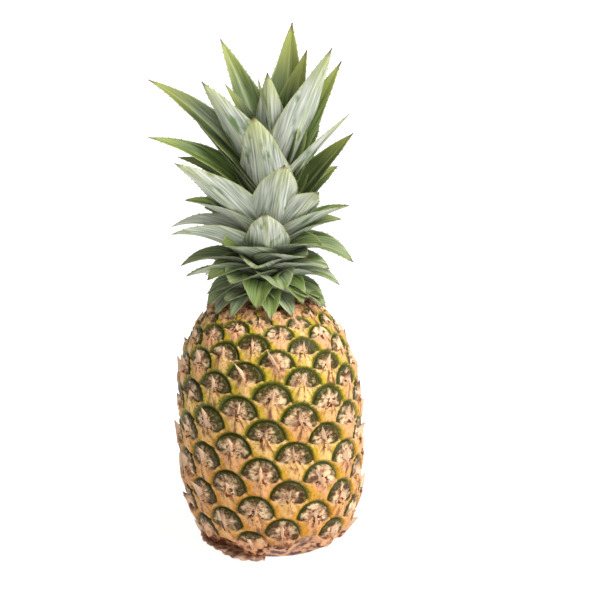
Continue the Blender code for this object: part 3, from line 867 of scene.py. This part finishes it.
def loft(rings):
    """The faces of a tube of rings, closed by a fan at each end, and which of them are on the underside."""
    count, around = rings.shape[:2]
    faces = []
    under = []
    low_strips = len(LEAF_SECTION) - 1
    for i in range(count - 1):
        for j in range(around):
            a = i * around + j
            b = i * around + (j + 1) % around
            faces.append((a, b, b + around, a + around))
            under.append(float(j < low_strips))
    for first in (0, (count - 1) * around):
        for j in range(low_strips):
            mates = (j, j + 1, (around - j - 1) % around, (around - j) % around)
            face = tuple(dict.fromkeys(first + mate for mate in mates))
            faces.append(face if first else face[::-1])
            under.append(0.0)
    return faces, under


def make_leaves(leaf_material):
    chance = random.Random(21)
    points = []
    faces = []
    under = []
    places = []
    across = []
    draws = []
    lines = []
    ways = []
    links = []
    for leaf in all_leaves():
        rings, spots, sides, (left, right, side, tangent) = leaf_blade(leaf, chance)
        leaf_faces, leaf_under = loft(rings)
        start = len(points)
        faces += [tuple(start + i for i in face) for face in leaf_faces]
        under += leaf_under
        points += list(map(tuple, rings.reshape(-1, 3)))
        places += list(map(tuple, spots.reshape(-1, 3)))
        across += list(sides)
        draw = (chance.random(), chance.random(), chance.random())
        if leaf in VIVID_LEAVES:
            draw = VIVID_DRAW
        draws += [draw] * len(leaf_faces)
        kept = SPINE_STATIONS
        for margin, sign in ((left, -1), (right, 1)):
            begin = len(lines)
            lines += list(map(tuple, margin[kept] - sign * side[kept] * SPINE_INSET))
            ways += list(map(tuple, unit(side[kept] * sign + tangent[kept] * SPINE_LEAN)))
            links += [(i, i + 1) for i in range(begin, len(lines) - 1)]
    mesh = bpy.data.meshes.new("leaves")
    mesh.from_pydata(points, [], faces)
    new_attribute(mesh, "leaf_place", "FLOAT_VECTOR", "POINT", places)
    new_attribute(mesh, "leaf_across", "FLOAT", "POINT", across)
    new_attribute(mesh, "leaf_under", "FLOAT", "FACE", under)
    new_attribute(mesh, "leaf_chance", "FLOAT_VECTOR", "FACE", draws)
    bm = bmesh.new()
    bm.from_mesh(mesh)
    bmesh.ops.recalc_face_normals(bm, faces=bm.faces)
    bm.to_mesh(mesh)
    bm.free()
    mesh.shade_smooth()
    mesh.set_sharp_from_angle(angle=SHARP_MARGIN)
    leaves = link_object("leaves", mesh, leaf_material)
    margins = bpy.data.meshes.new("leaf margins")
    margins.from_pydata(lines, links, [])
    new_attribute(margins, "way", "FLOAT_VECTOR", "POINT", ways)
    return leaves, margins


def along_lines_tree():
    """Sets a piece at even spacing along lines, each pointing the way that the line's points say."""
    tree, given = new_group("pieces along lines", "Pieces", {
        "Lines": "Geometry", "Piece": "Object", "Material": "Material", "Spacing": "Float",
        "Least size": "Float", "Greatest size": "Float", "Seed": "Int",
    })
    curve = add(tree, "GeometryNodeMeshToCurve", {0: given["Lines"]})
    points = add(tree, "GeometryNodeCurveToPoints",
                 {"Curve": curve, "Length": given["Spacing"]}, mode="LENGTH")
    way = add(tree, "GeometryNodeInputNamedAttribute", {"Name": "way"}, data_type="FLOAT_VECTOR")
    facing = add(tree, "FunctionNodeAlignRotationToVector", {"Vector": way}, axis="Z")
    size = add(tree, "FunctionNodeRandomValue",
               {2: given["Least size"], 3: given["Greatest size"], "Seed": given["Seed"]}, data_type="FLOAT")
    piece = add(tree, "GeometryNodeObjectInfo", {"Object": given["Piece"]})
    pieces = add(tree, "GeometryNodeInstanceOnPoints",
                 {"Points": points, "Instance": piece.outputs["Geometry"], "Rotation": facing,
                  "Scale": size})
    pieces = add(tree, "GeometryNodeRealizeInstances", {"Geometry": pieces})
    pieces = add(tree, "GeometryNodeSetShadeSmooth", {"Geometry": pieces})
    pieces = add(tree, "GeometryNodeSetMaterial", {"Geometry": pieces, "Material": given["Material"]})
    add(tree, "NodeGroupOutput", {0: pieces})
    return tree


def cone_mesh(name, radius, length):
    bm = bmesh.new()
    bmesh.ops.create_cone(bm, cap_ends=True, segments=5, radius1=radius, radius2=0, depth=length)
    bmesh.ops.translate(bm, verts=bm.verts, vec=(0, 0, length / 2))
    return mesh_of(bm, name)


def make_spines(margins, material):
    cone = link_object("spine", cone_mesh("spine", SPINE_RADIUS, SPINE_LENGTH))
    spines = grown("leaf_spines", margins, along_lines_tree(), {
        "Piece": cone, "Material": material, "Spacing": SPINE_SPACING,
        "Least size": 0.6, "Greatest size": 1.1, "Seed": 9,
    })
    bpy.data.objects.remove(cone)
    return spines


def make_core(material):
    """The crown's short stem, which the leaves grow from."""
    bm = bmesh.new()
    bmesh.ops.create_cone(bm, cap_ends=True, segments=48, radius1=CORE_FOOT_RADIUS,
                          radius2=CORE_TOP_RADIUS, depth=CORE_HEIGHT)
    for point in bm.verts:
        along = point.co.z + CORE_HEIGHT / 2
        place = CORE_FOOT + CORE_AXIS * along
        point.co = Vector(place) + Vector((point.co.x, point.co.y, 0))
    mesh = mesh_of(bm, "core")
    mesh.shade_smooth()
    mesh.set_sharp_from_angle(angle=math.radians(40))
    return link_object("crown_core", mesh, material)


# Materials


def new_material(name, **values):
    material = bpy.data.materials.new(name)
    material.use_nodes = True
    shader = material.node_tree.nodes["Principled BSDF"]
    for key, value in values.items():
        shader.inputs[key.replace("_", " ")].default_value = value
    return material, material.node_tree, shader


def coat(tree, shader, tone, relief=None, strength=1.0, depth=0.0):
    """Gives a surface its colour and, where there is one, its relief of that depth."""
    tree.links.new(tone.outputs[2], shader.inputs["Base Color"])
    if relief is not None:
        bump = add(tree, "ShaderNodeBump", {"Height": relief, "Strength": strength, "Distance": depth})
        tree.links.new(bump.outputs[0], shader.inputs["Normal"])


def mottled_material(name, dark, light, roughness, scale, detail, strength=0.0, depth=0.0, spread=(0, 1)):
    """Two tones in soft blotches of 1 / scale metres. The spread is the part of the noise that is used."""
    material, tree, shader = new_material(name, Roughness=roughness)
    where = add(tree, "ShaderNodeTexCoord").outputs["Object"]
    noise = add(tree, "ShaderNodeTexNoise", {"Vector": where, "Scale": scale, "Detail": detail})
    blotch = add(tree, "ShaderNodeMapRange", {0: noise, 1: spread[0], 2: spread[1]})
    tone = add(tree, "ShaderNodeMix", {"Factor": blotch, "A": colour(dark), "B": colour(light)},
               data_type="RGBA")
    coat(tree, shader, tone, blotch if strength else None, strength, depth)
    return material


def rind_material():
    """Ripe pineapple rind: waxy grown skin. Golden bracts with cream folds, olive discs, dark rims; painted
    shade in the grooves and folds, painted highlights on the discs.
    """
    material, tree, shader = new_material("waxy pineapple rind", Roughness=0.45, Specular_IOR_Level=0.25)
    where = add(tree, "ShaderNodeTexCoord").outputs["Object"]
    place = add(tree, "ShaderNodeAttribute", attribute_name="eye_place").outputs["Vector"]
    marks = add(tree, "ShaderNodeAttribute", attribute_name="eye_marks").outputs["Vector"]
    chance = add(tree, "ShaderNodeAttribute", attribute_name="eye_chance").outputs["Vector"]
    spot = add(tree, "ShaderNodeSeparateXYZ", {0: place})
    across, up = spot.outputs[:2]
    rim, low, edge = add(tree, "ShaderNodeSeparateXYZ", {0: marks}).outputs
    draw = add(tree, "ShaderNodeSeparateXYZ", {0: chance})
    height = add(tree, "ShaderNodeSeparateXYZ", {0: where}).outputs[2]
    aside = add(tree, "ShaderNodeMath", {0: across}, operation="ABSOLUTE")

    # Blotches of 5 mm and mottle of 1.5 mm
    blotch = add(tree, "ShaderNodeTexNoise", {"Vector": where, "Scale": 200.0, "Detail": 4.0})
    mottle = add(tree, "ShaderNodeTexNoise", {"Vector": where, "Scale": 650.0, "Detail": 3.0})

    # Streaks that fan out from the root of the bract's tip
    drop = add(tree, "ShaderNodeMath", {0: 0.16, 1: up}, operation="SUBTRACT")
    fan = add(tree, "ShaderNodeMath", {0: across, 1: drop}, operation="ARCTAN2")
    ray = add(tree, "ShaderNodeCombineXYZ", {0: fan, 1: drop, 2: draw.outputs[0]})
    ray = add(tree, "ShaderNodeMapping", {"Vector": ray, "Scale": (3.6, 2.2, 30.0)})
    streak = add(tree, "ShaderNodeTexNoise", {"Vector": ray, "Scale": 1.0, "Detail": 3.0})

    # Bracts: golden, greener near the crown and more tan near the base, each a little different
    ripe = add(tree, "ShaderNodeMath", {0: draw.outputs[1], 1: 0.06, 2: height}, operation="MULTIPLY_ADD")
    ripe = add(tree, "ShaderNodeMapRange", {0: ripe, 1: 0.160, 2: 0.060})
    warm = add(tree, "ShaderNodeMix", {"Factor": ripe, "A": colour("#bea31e"), "B": colour("#c68420")},
               data_type="RGBA")
    pale = add(tree, "ShaderNodeMapRange", {0: aside, 1: 0.34, 2: 0.06}, interpolation_type="SMOOTHSTEP")
    border = add(tree, "ShaderNodeMapRange", {0: edge, 1: 3.4, 2: 0.4})
    border = add(tree, "ShaderNodeMath", {0: border, 1: 0.6}, operation="MULTIPLY")
    pale = add(tree, "ShaderNodeMath", {0: pale, 1: border}, operation="MAXIMUM")
    pale = add(tree, "ShaderNodeMath", {0: draw.outputs[2], 1: 0.45, 2: pale}, operation="MULTIPLY_ADD")
    pale = add(tree, "ShaderNodeMath", {0: blotch, 1: 2.2, 2: pale}, operation="MULTIPLY_ADD")
    golden = add(tree, "ShaderNodeMapRange", {0: low, 1: 4.5, 2: 1.0, 3: 0.0, 4: 0.35})
    pale = add(tree, "ShaderNodeMath", {0: pale, 1: golden}, operation="SUBTRACT")
    foot = add(tree, "ShaderNodeMapRange", {0: edge, 1: 2.5, 2: 8.0, 3: 0.0, 4: 0.5})
    pale = add(tree, "ShaderNodeMath", {0: pale, 1: foot}, operation="SUBTRACT")
    pale = add(tree, "ShaderNodeMapRange", {0: pale, 1: 1.10, 2: 1.85})
    cream = add(tree, "ShaderNodeMix", {"Factor": draw.outputs[0], "A": colour("#eac276"),
                                        "B": colour("#dea27a")}, data_type="RGBA")
    tan = add(tree, "ShaderNodeMath", {0: ripe, 1: 0.55}, operation="MULTIPLY")
    cream = add(tree, "ShaderNodeMix", {"Factor": tan, "A": cream, "B": colour("#c98d50")}, data_type="RGBA")
    bract = add(tree, "ShaderNodeMix", {"Factor": pale, "A": warm, "B": cream}, data_type="RGBA")
    fleck = add(tree, "ShaderNodeMapRange", {0: mottle, 1: 0.56, 2: 0.70, 3: 0.0, 4: 0.75})
    # Darker streaks along the bract's folds: partly the bract's own brown, partly painted shade in the folds
    folds = add(tree, "ShaderNodeMapRange", {0: streak, 1: 0.51, 2: 0.37})
    inward = add(tree, "ShaderNodeMapRange", {0: aside, 1: 0.42, 2: 0.10})
    folds = add(tree, "ShaderNodeMath", {0: folds, 1: inward}, operation="MULTIPLY")
    reach = add(tree, "ShaderNodeMath", {0: mottle, 1: 3.4}, operation="MULTIPLY")
    reach = add(tree, "ShaderNodeMath", {0: low, 1: reach}, operation="SUBTRACT")
    reach = add(tree, "ShaderNodeMath", {0: ripe, 1: 1.3, 2: reach}, operation="MULTIPLY_ADD")
    green = add(tree, "ShaderNodeMapRange", {0: reach, 1: 1.8, 2: -0.9}, interpolation_type="SMOOTHSTEP")
    for amount, code in ((fleck, "#945a2c"), (folds, "#80502a"), (green, "#55590c")):
        bract = add(tree, "ShaderNodeMix", {"Factor": amount, "A": bract, "B": colour(code)},
                    data_type="RGBA")

    # Discs: olive inside the rim, browner low down, with painted highlights on the beads and a cream middle
    # rayed from the tip's root
    brown = add(tree, "ShaderNodeMath", {0: draw.outputs[2], 1: 0.07, 2: height}, operation="MULTIPLY_ADD")
    brown = add(tree, "ShaderNodeMapRange", {0: brown, 1: 0.145, 2: 0.045})
    olive = add(tree, "ShaderNodeMix", {"Factor": brown, "A": colour("#3c3406"), "B": colour("#45240f")},
                data_type="RGBA")
    # The lighter mottle on the olive disc is painted highlight on its beads
    bloom = add(tree, "ShaderNodeMapRange", {0: mottle, 1: 0.50, 2: 0.80})
    olive = add(tree, "ShaderNodeMix", {"Factor": bloom, "A": olive, "B": colour("#8a7a34")},
                data_type="RGBA")
    middle = add(tree, "ShaderNodeVectorMath", {0: place, 1: (0.0, 0.05, 0.0)}, operation="SUBTRACT")
    middle = add(tree, "ShaderNodeVectorMath", {0: middle}, operation="LENGTH").outputs["Value"]
    heart = add(tree, "ShaderNodeMath", {0: blotch, 1: -0.75, 2: middle}, operation="MULTIPLY_ADD")
    heart = add(tree, "ShaderNodeMath", {0: draw.outputs[0], 1: -0.14, 2: heart}, operation="MULTIPLY_ADD")
    heart = add(tree, "ShaderNodeMath", {0: streak, 1: -0.25, 2: heart}, operation="MULTIPLY_ADD")
    heart = add(tree, "ShaderNodeMapRange", {0: heart, 1: -0.20, 2: -0.40})
    # The darker brown between the cream lumps of the middle is partly its own colour, partly painted shade
    # in its folds
    lump = add(tree, "ShaderNodeMix", {"Factor": 0.4, "A": blotch, "B": streak}, data_type="FLOAT")
    lump = add(tree, "ShaderNodeMapRange", {0: lump, 1: 0.41, 2: 0.56})
    straw = add(tree, "ShaderNodeMix", {"Factor": lump, "A": colour("#a0664a"), "B": colour("#edcc9e")},
                data_type="RGBA")
    disc = add(tree, "ShaderNodeMix", {"Factor": heart, "A": olive, "B": straw}, data_type="RGBA")
    over = add(tree, "ShaderNodeMapRange", {0: edge, 1: -0.25, 2: 0.25})
    skin = add(tree, "ShaderNodeMix", {"Factor": over, "A": disc, "B": bract}, data_type="RGBA")

    # Dark pits of 2.5 mm round the root of the tip, and the rims' dark green band with painted shade in the
    # grooves between the eyes
    pit = add(tree, "ShaderNodeTexNoise", {"Vector": where, "Scale": 400.0, "Detail": 1.0})
    pit = add(tree, "ShaderNodeMapRange", {0: pit, 1: 0.55, 2: 0.61})
    root = add(tree, "ShaderNodeMapRange", {0: middle, 1: 0.30, 2: 0.18})
    pit = add(tree, "ShaderNodeMath", {0: pit, 1: root}, operation="MULTIPLY")
    inside = add(tree, "ShaderNodeMath", {0: mottle, 1: 2.0, 2: rim}, operation="MULTIPLY_ADD")
    inside = add(tree, "ShaderNodeMapRange", {0: inside, 1: 2.3, 2: 1.5}, interpolation_type="SMOOTHSTEP")
    lip = add(tree, "ShaderNodeMapRange", {0: edge, 1: 0.5, 2: -0.5})
    inside = add(tree, "ShaderNodeMath", {0: inside, 1: lip}, operation="MULTIPLY")
    # Painted shade in the groove between the eyes, joined with the dark green band inside each rim
    dark_rim_and_groove_shade = add(tree, "ShaderNodeMapRange", {0: low, 1: 0.7, 2: 0.1}, interpolation_type="SMOOTHSTEP")
    dark_rim_and_groove_shade = add(tree, "ShaderNodeMath", {0: dark_rim_and_groove_shade, 1: inside}, operation="MAXIMUM")
    for amount, code in ((pit, "#5e2a16"), (dark_rim_and_groove_shade, "#363c04")):
        skin = add(tree, "ShaderNodeMix", {"Factor": amount, "A": skin, "B": colour(code)},
                   data_type="RGBA")

    # Round the crown's foot and along the base the eyes have dried: red-brown discs in pink-tan bracts
    dried = add(tree, "ShaderNodeMath", {0: blotch, 1: 0.03, 2: height}, operation="MULTIPLY_ADD")
    dried = add(tree, "ShaderNodeMapRange", {0: dried, 1: 0.174, 2: 0.182})
    cut = add(tree, "ShaderNodeMath", {0: blotch, 1: -0.014, 2: height}, operation="MULTIPLY_ADD")
    cut = add(tree, "ShaderNodeMapRange", {0: cut, 1: 0.012, 2: 0.006})
    dried = add(tree, "ShaderNodeMath", {0: dried, 1: cut}, operation="MAXIMUM")
    rust = add(tree, "ShaderNodeMapRange", {0: blotch, 1: 0.40, 2: 0.56})
    rust = add(tree, "ShaderNodeMix", {"Factor": rust, "A": colour("#54210f"), "B": colour("#dda276")},
               data_type="RGBA")
    skin = add(tree, "ShaderNodeMix", {"Factor": dried, "A": skin, "B": rust}, data_type="RGBA")

    # Grain of 1.1 mm
    grain = add(tree, "ShaderNodeTexNoise", {"Vector": where, "Scale": 900.0, "Detail": 4.0})
    coat(tree, shader, skin, grain, strength=0.6, depth=0.5 * MM)
    return material


def tip_material():
    """Dry bract tips: thin dead husk. Pale straw with a pink-brown root, matt, with fine fibres."""
    material, tree, shader = new_material("dry straw husk", Roughness=0.7)
    where = add(tree, "ShaderNodeTexCoord").outputs["Object"]
    along = add(tree, "ShaderNodeAttribute", attribute_name="along").outputs["Fac"]
    fibre = add(tree, "ShaderNodeTexNoise", {"Vector": where, "Scale": 900.0, "Detail": 2.0})
    straw = add(tree, "ShaderNodeMix", {"Factor": fibre, "A": colour("#e0a87c"), "B": colour("#f8dcba")},
                data_type="RGBA")
    root = add(tree, "ShaderNodeMapRange", {0: along, 1: 0.35, 2: 0.0})
    chance = add(tree, "ShaderNodeAttribute", attribute_name="eye_chance").outputs["Vector"]
    point = add(tree, "ShaderNodeSeparateXYZ", {0: chance}).outputs[0]
    point = add(tree, "ShaderNodeMath", {0: along, 1: point}, operation="MULTIPLY")
    point = add(tree, "ShaderNodeMapRange", {0: point, 1: 0.42, 2: 0.75})
    for amount, code in ((root, "#dfa47c"), (point, "#6b4026")):
        straw = add(tree, "ShaderNodeMix", {"Factor": amount, "A": straw, "B": colour(code)},
                    data_type="RGBA")
    coat(tree, shader, straw, fibre, strength=0.4, depth=0.3 * MM)
    return material


def base_material():
    """Old rind under the fruit: dry, brown and matt where the lowest bracts were trimmed."""
    return mottled_material("dry trimmed rind", "#6f4a2c", "#c9a271", roughness=0.75, scale=160.0,
                            detail=5.0, strength=0.7, depth=0.8 * MM)


def husk_material(name, dark, light):
    """Dried bracts and scales: papery dead leaf. Two tones of brown in blotches of 4.5 mm, matt."""
    return mottled_material(name, dark, light, roughness=0.72, scale=220.0, detail=4.0, strength=0.5,
                            depth=0.5 * MM, spread=(0.35, 0.65))


def leaf_material():
    """Crown leaf: waxy living blade. Silver bloom on the underside, deep striped green above."""
    material, tree, shader = new_material("bloomed crown leaf", Roughness=0.48)
    place = add(tree, "ShaderNodeAttribute", attribute_name="leaf_place").outputs["Vector"]
    under = add(tree, "ShaderNodeAttribute", attribute_name="leaf_under").outputs["Fac"]
    chance = add(tree, "ShaderNodeAttribute", attribute_name="leaf_chance").outputs["Vector"]
    where = add(tree, "ShaderNodeTexCoord").outputs["Object"]
    share = add(tree, "ShaderNodeSeparateXYZ", {0: place}).outputs[2]
    draw = add(tree, "ShaderNodeSeparateXYZ", {0: chance})

    # Stripes 1.2 mm apart across the blade and some 25 mm long
    own = add(tree, "ShaderNodeVectorMath", {0: chance, 3: 0.3}, operation="SCALE")
    own = add(tree, "ShaderNodeVectorMath", {0: place, 1: own}, operation="ADD")
    drawn_out = add(tree, "ShaderNodeMapping", {"Vector": own, "Scale": (850.0, 40.0, 0.0)})
    stripe = add(tree, "ShaderNodeTexNoise", {"Vector": drawn_out, "Scale": 1.0, "Detail": 2.0})
    stripe = add(tree, "ShaderNodeMapRange", {0: stripe, 1: 0.28, 2: 0.72})
    patches = add(tree, "ShaderNodeMapping", {"Vector": own, "Scale": (140.0, 45.0, 0.0)})
    patch = add(tree, "ShaderNodeTexNoise", {"Vector": patches, "Scale": 1.0, "Detail": 4.0})

    silver = add(tree, "ShaderNodeMix", {"Factor": stripe, "A": colour("#76836b"), "B": colour("#f8fbee")},
                 data_type="RGBA")
    # Some leaves take a darker silver by their own draw, which is painted shade
    painted_leaf_shade = add(tree, "ShaderNodeMath", {0: draw.outputs[0], 1: 0.24}, operation="MULTIPLY")
    rubbed = add(tree, "ShaderNodeMapRange", {0: patch, 1: 0.58, 2: 0.68})
    for amount, code in ((painted_leaf_shade, "#5c684f"), (rubbed, "#66804d")):
        silver = add(tree, "ShaderNodeMix", {"Factor": amount, "A": silver, "B": colour(code)},
                     data_type="RGBA")
    green = add(tree, "ShaderNodeMix", {"Factor": stripe, "A": colour("#2c3f18"), "B": colour("#8da556")},
                data_type="RGBA")
    # Some leaves take a deeper green by their own draw: partly their own tone, partly painted shade on the
    # upper sides
    deep = add(tree, "ShaderNodeMath", {0: draw.outputs[1], 1: 0.65}, operation="MULTIPLY")
    green = add(tree, "ShaderNodeMix", {"Factor": deep, "A": green, "B": colour("#1f2616")},
                data_type="RGBA")
    tall = add(tree, "ShaderNodeSeparateXYZ", {0: where}).outputs[2]
    dull = add(tree, "ShaderNodeMapRange", {0: tall, 1: 0.23, 2: 0.19, 3: 0.0, 4: 0.5})
    dull = add(tree, "ShaderNodeMath", {0: draw.outputs[2], 1: dull}, operation="MULTIPLY")
    green = add(tree, "ShaderNodeMix", {"Factor": dull, "A": green, "B": silver}, data_type="RGBA")
    blade = add(tree, "ShaderNodeMix", {"Factor": under, "A": green, "B": silver}, data_type="RGBA")
    ripe = add(tree, "ShaderNodeMath", {0: draw.outputs[0], 1: 0.12, 2: 0.80}, operation="MULTIPLY_ADD")
    towards_tip = add(tree, "ShaderNodeMath", {0: share, 1: ripe}, operation="SUBTRACT")
    yellow = add(tree, "ShaderNodeMapRange", {0: towards_tip, 1: -0.25, 2: 0.12})
    tall = add(tree, "ShaderNodeMapRange", {0: tall, 1: 0.21, 2: 0.28, 3: 0.15, 4: 0.75})
    yellow = add(tree, "ShaderNodeMath", {0: yellow, 1: tall}, operation="MULTIPLY")
    aside = add(tree, "ShaderNodeAttribute", attribute_name="leaf_across").outputs["Fac"]
    aside = add(tree, "ShaderNodeMath", {0: aside}, operation="ABSOLUTE")
    # A pale line at the margins, which is the leaf's own colour, and a lighter line along the fold, which is
    # painted highlight
    line = add(tree, "ShaderNodeMapRange", {0: aside, 1: 0.86, 2: 1.0, 3: 0.0, 4: 0.7})
    fold_highlight = add(tree, "ShaderNodeMapRange", {0: aside, 1: 0.14, 2: 0.0, 3: 0.0, 4: 0.45})
    line = add(tree, "ShaderNodeMath", {0: line, 1: fold_highlight}, operation="MAXIMUM")
    shade = add(tree, "ShaderNodeMapRange", {0: share, 1: 0.0, 2: 0.34, 3: 0.6, 4: 0.0})
    tip = add(tree, "ShaderNodeMapRange", {0: share, 1: 0.93, 2: 0.985})
    for amount, code in ((yellow, "#b2b855"), (line, "#b4bd7c"), (shade, "#2e3a22"), (tip, "#5b4328")):
        blade = add(tree, "ShaderNodeMix", {"Factor": amount, "A": blade, "B": colour(code)},
                    data_type="RGBA")
    coat(tree, shader, blade, stripe, strength=0.35, depth=0.4 * MM)
    return material


def core_material():
    """Crown stem: pale fibrous plant stem, matt, its colours darkened as painted shade between the leaves.
    """
    return mottled_material("crown stem in painted shade", "#2c3420", "#5c6540", roughness=0.6, scale=400.0, detail=3.0)


def spine_material():
    """Leaf spines: hard dry plant points, pale straw to brown."""
    return mottled_material("dry leaf spine", "#5d5a34", "#b5ae7c", roughness=0.5, scale=300.0, detail=2.0)


def stem_material():
    """Cut stem: sawn fibrous plant stem. Straw end grain with darker bundles, rough and dry."""
    material, tree, shader = new_material("cut fibrous stem", Roughness=0.85)
    where = add(tree, "ShaderNodeTexCoord").outputs["Object"]
    bundles = add(tree, "ShaderNodeTexVoronoi", {"Vector": where, "Scale": 1100.0}, feature="F1")
    tone = add(tree, "ShaderNodeMix", {"Factor": bundles.outputs["Distance"], "A": colour("#7d5c36"),
                                       "B": colour("#cbb083")}, data_type="RGBA")
    coat(tree, shader, tone, bundles.outputs["Distance"], depth=0.4 * MM)
    return material


# Studio


def make_camera():
    data = bpy.data.cameras.new("camera")
    data.lens = CAMERA_LENS
    data.sensor_width = SENSOR_WIDTH
    camera = bpy.data.objects.new("camera", data)
    camera.location = CAMERA_PLACE
    camera.rotation_euler = (math.pi / 2 - CAMERA_PITCH, 0, -CAMERA_TURN)
    bpy.context.scene.collection.objects.link(camera)
    bpy.context.scene.camera = camera


def make_sun(name, azimuth, elevation, strength, spread):
    data = bpy.data.lights.new(name, "SUN")
    data.energy = strength
    data.angle = math.radians(spread)
    sun = bpy.data.objects.new(name, data)
    sun.rotation_euler = (math.radians(90 - elevation), 0, math.radians(azimuth))
    bpy.context.scene.collection.objects.link(sun)


def make_studio():
    scene = bpy.context.scene
    world = bpy.data.worlds.new("studio")
    world.use_nodes = True
    sky = world.node_tree.nodes["Background"]
    sky.inputs["Color"].default_value = (1, 1, 1, 1)
    seen = add(world.node_tree, "ShaderNodeLightPath").outputs["Is Camera Ray"]
    seen = add(world.node_tree, "ShaderNodeMapRange", {0: seen, 3: SKY_LIGHT, 4: 1.0})
    world.node_tree.links.new(seen.outputs[0], sky.inputs["Strength"])
    scene.world = world
    scene.view_settings.view_transform = "Standard"
    make_sun("key", azimuth=60, elevation=42, strength=3.8, spread=40)
    make_sun("front", azimuth=-5, elevation=30, strength=0.25, spread=60)
    bpy.ops.mesh.primitive_circle_add(vertices=96, radius=40, fill_type="NGON", location=(0, 0, 0))
    floor = bpy.context.object
    floor.name = "floor"
    floor.data.materials.append(new_material(
        "white studio floor", Roughness=0.9, Base_Color=(0.30, 0.30, 0.30, 1),
        Emission_Color=(1, 1, 1, 1), Emission_Strength=0.9,
    )[0])


def main():
    make_camera()
    make_studio()
    scale_material = husk_material("red-brown dried scale", "#5a2818", "#dba983")
    rind, tips, scales = make_rind(rind_material(), tip_material(), base_material(), scale_material)
    foot = make_foot_bracts(husk_material("papery dried bract", "#7d5340", "#dcb79a"))
    leaves, margins = make_leaves(leaf_material())
    spines = make_spines(margins, spine_material())
    core = make_core(core_material())
    for piece, node, slot in (
        (rind, "fruit", "rind"),
        (tips, "fruit", "rind"),
        (scales, "fruit", "rind"),
        (foot, "fruit", "rind"),
        (leaves, "crown", "leaf"),
        (spines, "crown", "leaf"),
        (core, "crown", "leaf"),
    ):
        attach(piece, "root")
        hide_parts(node)
    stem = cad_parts["cut_stem"]
    stem.data.materials.clear()
    stem.data.materials.append(stem_material())


main()
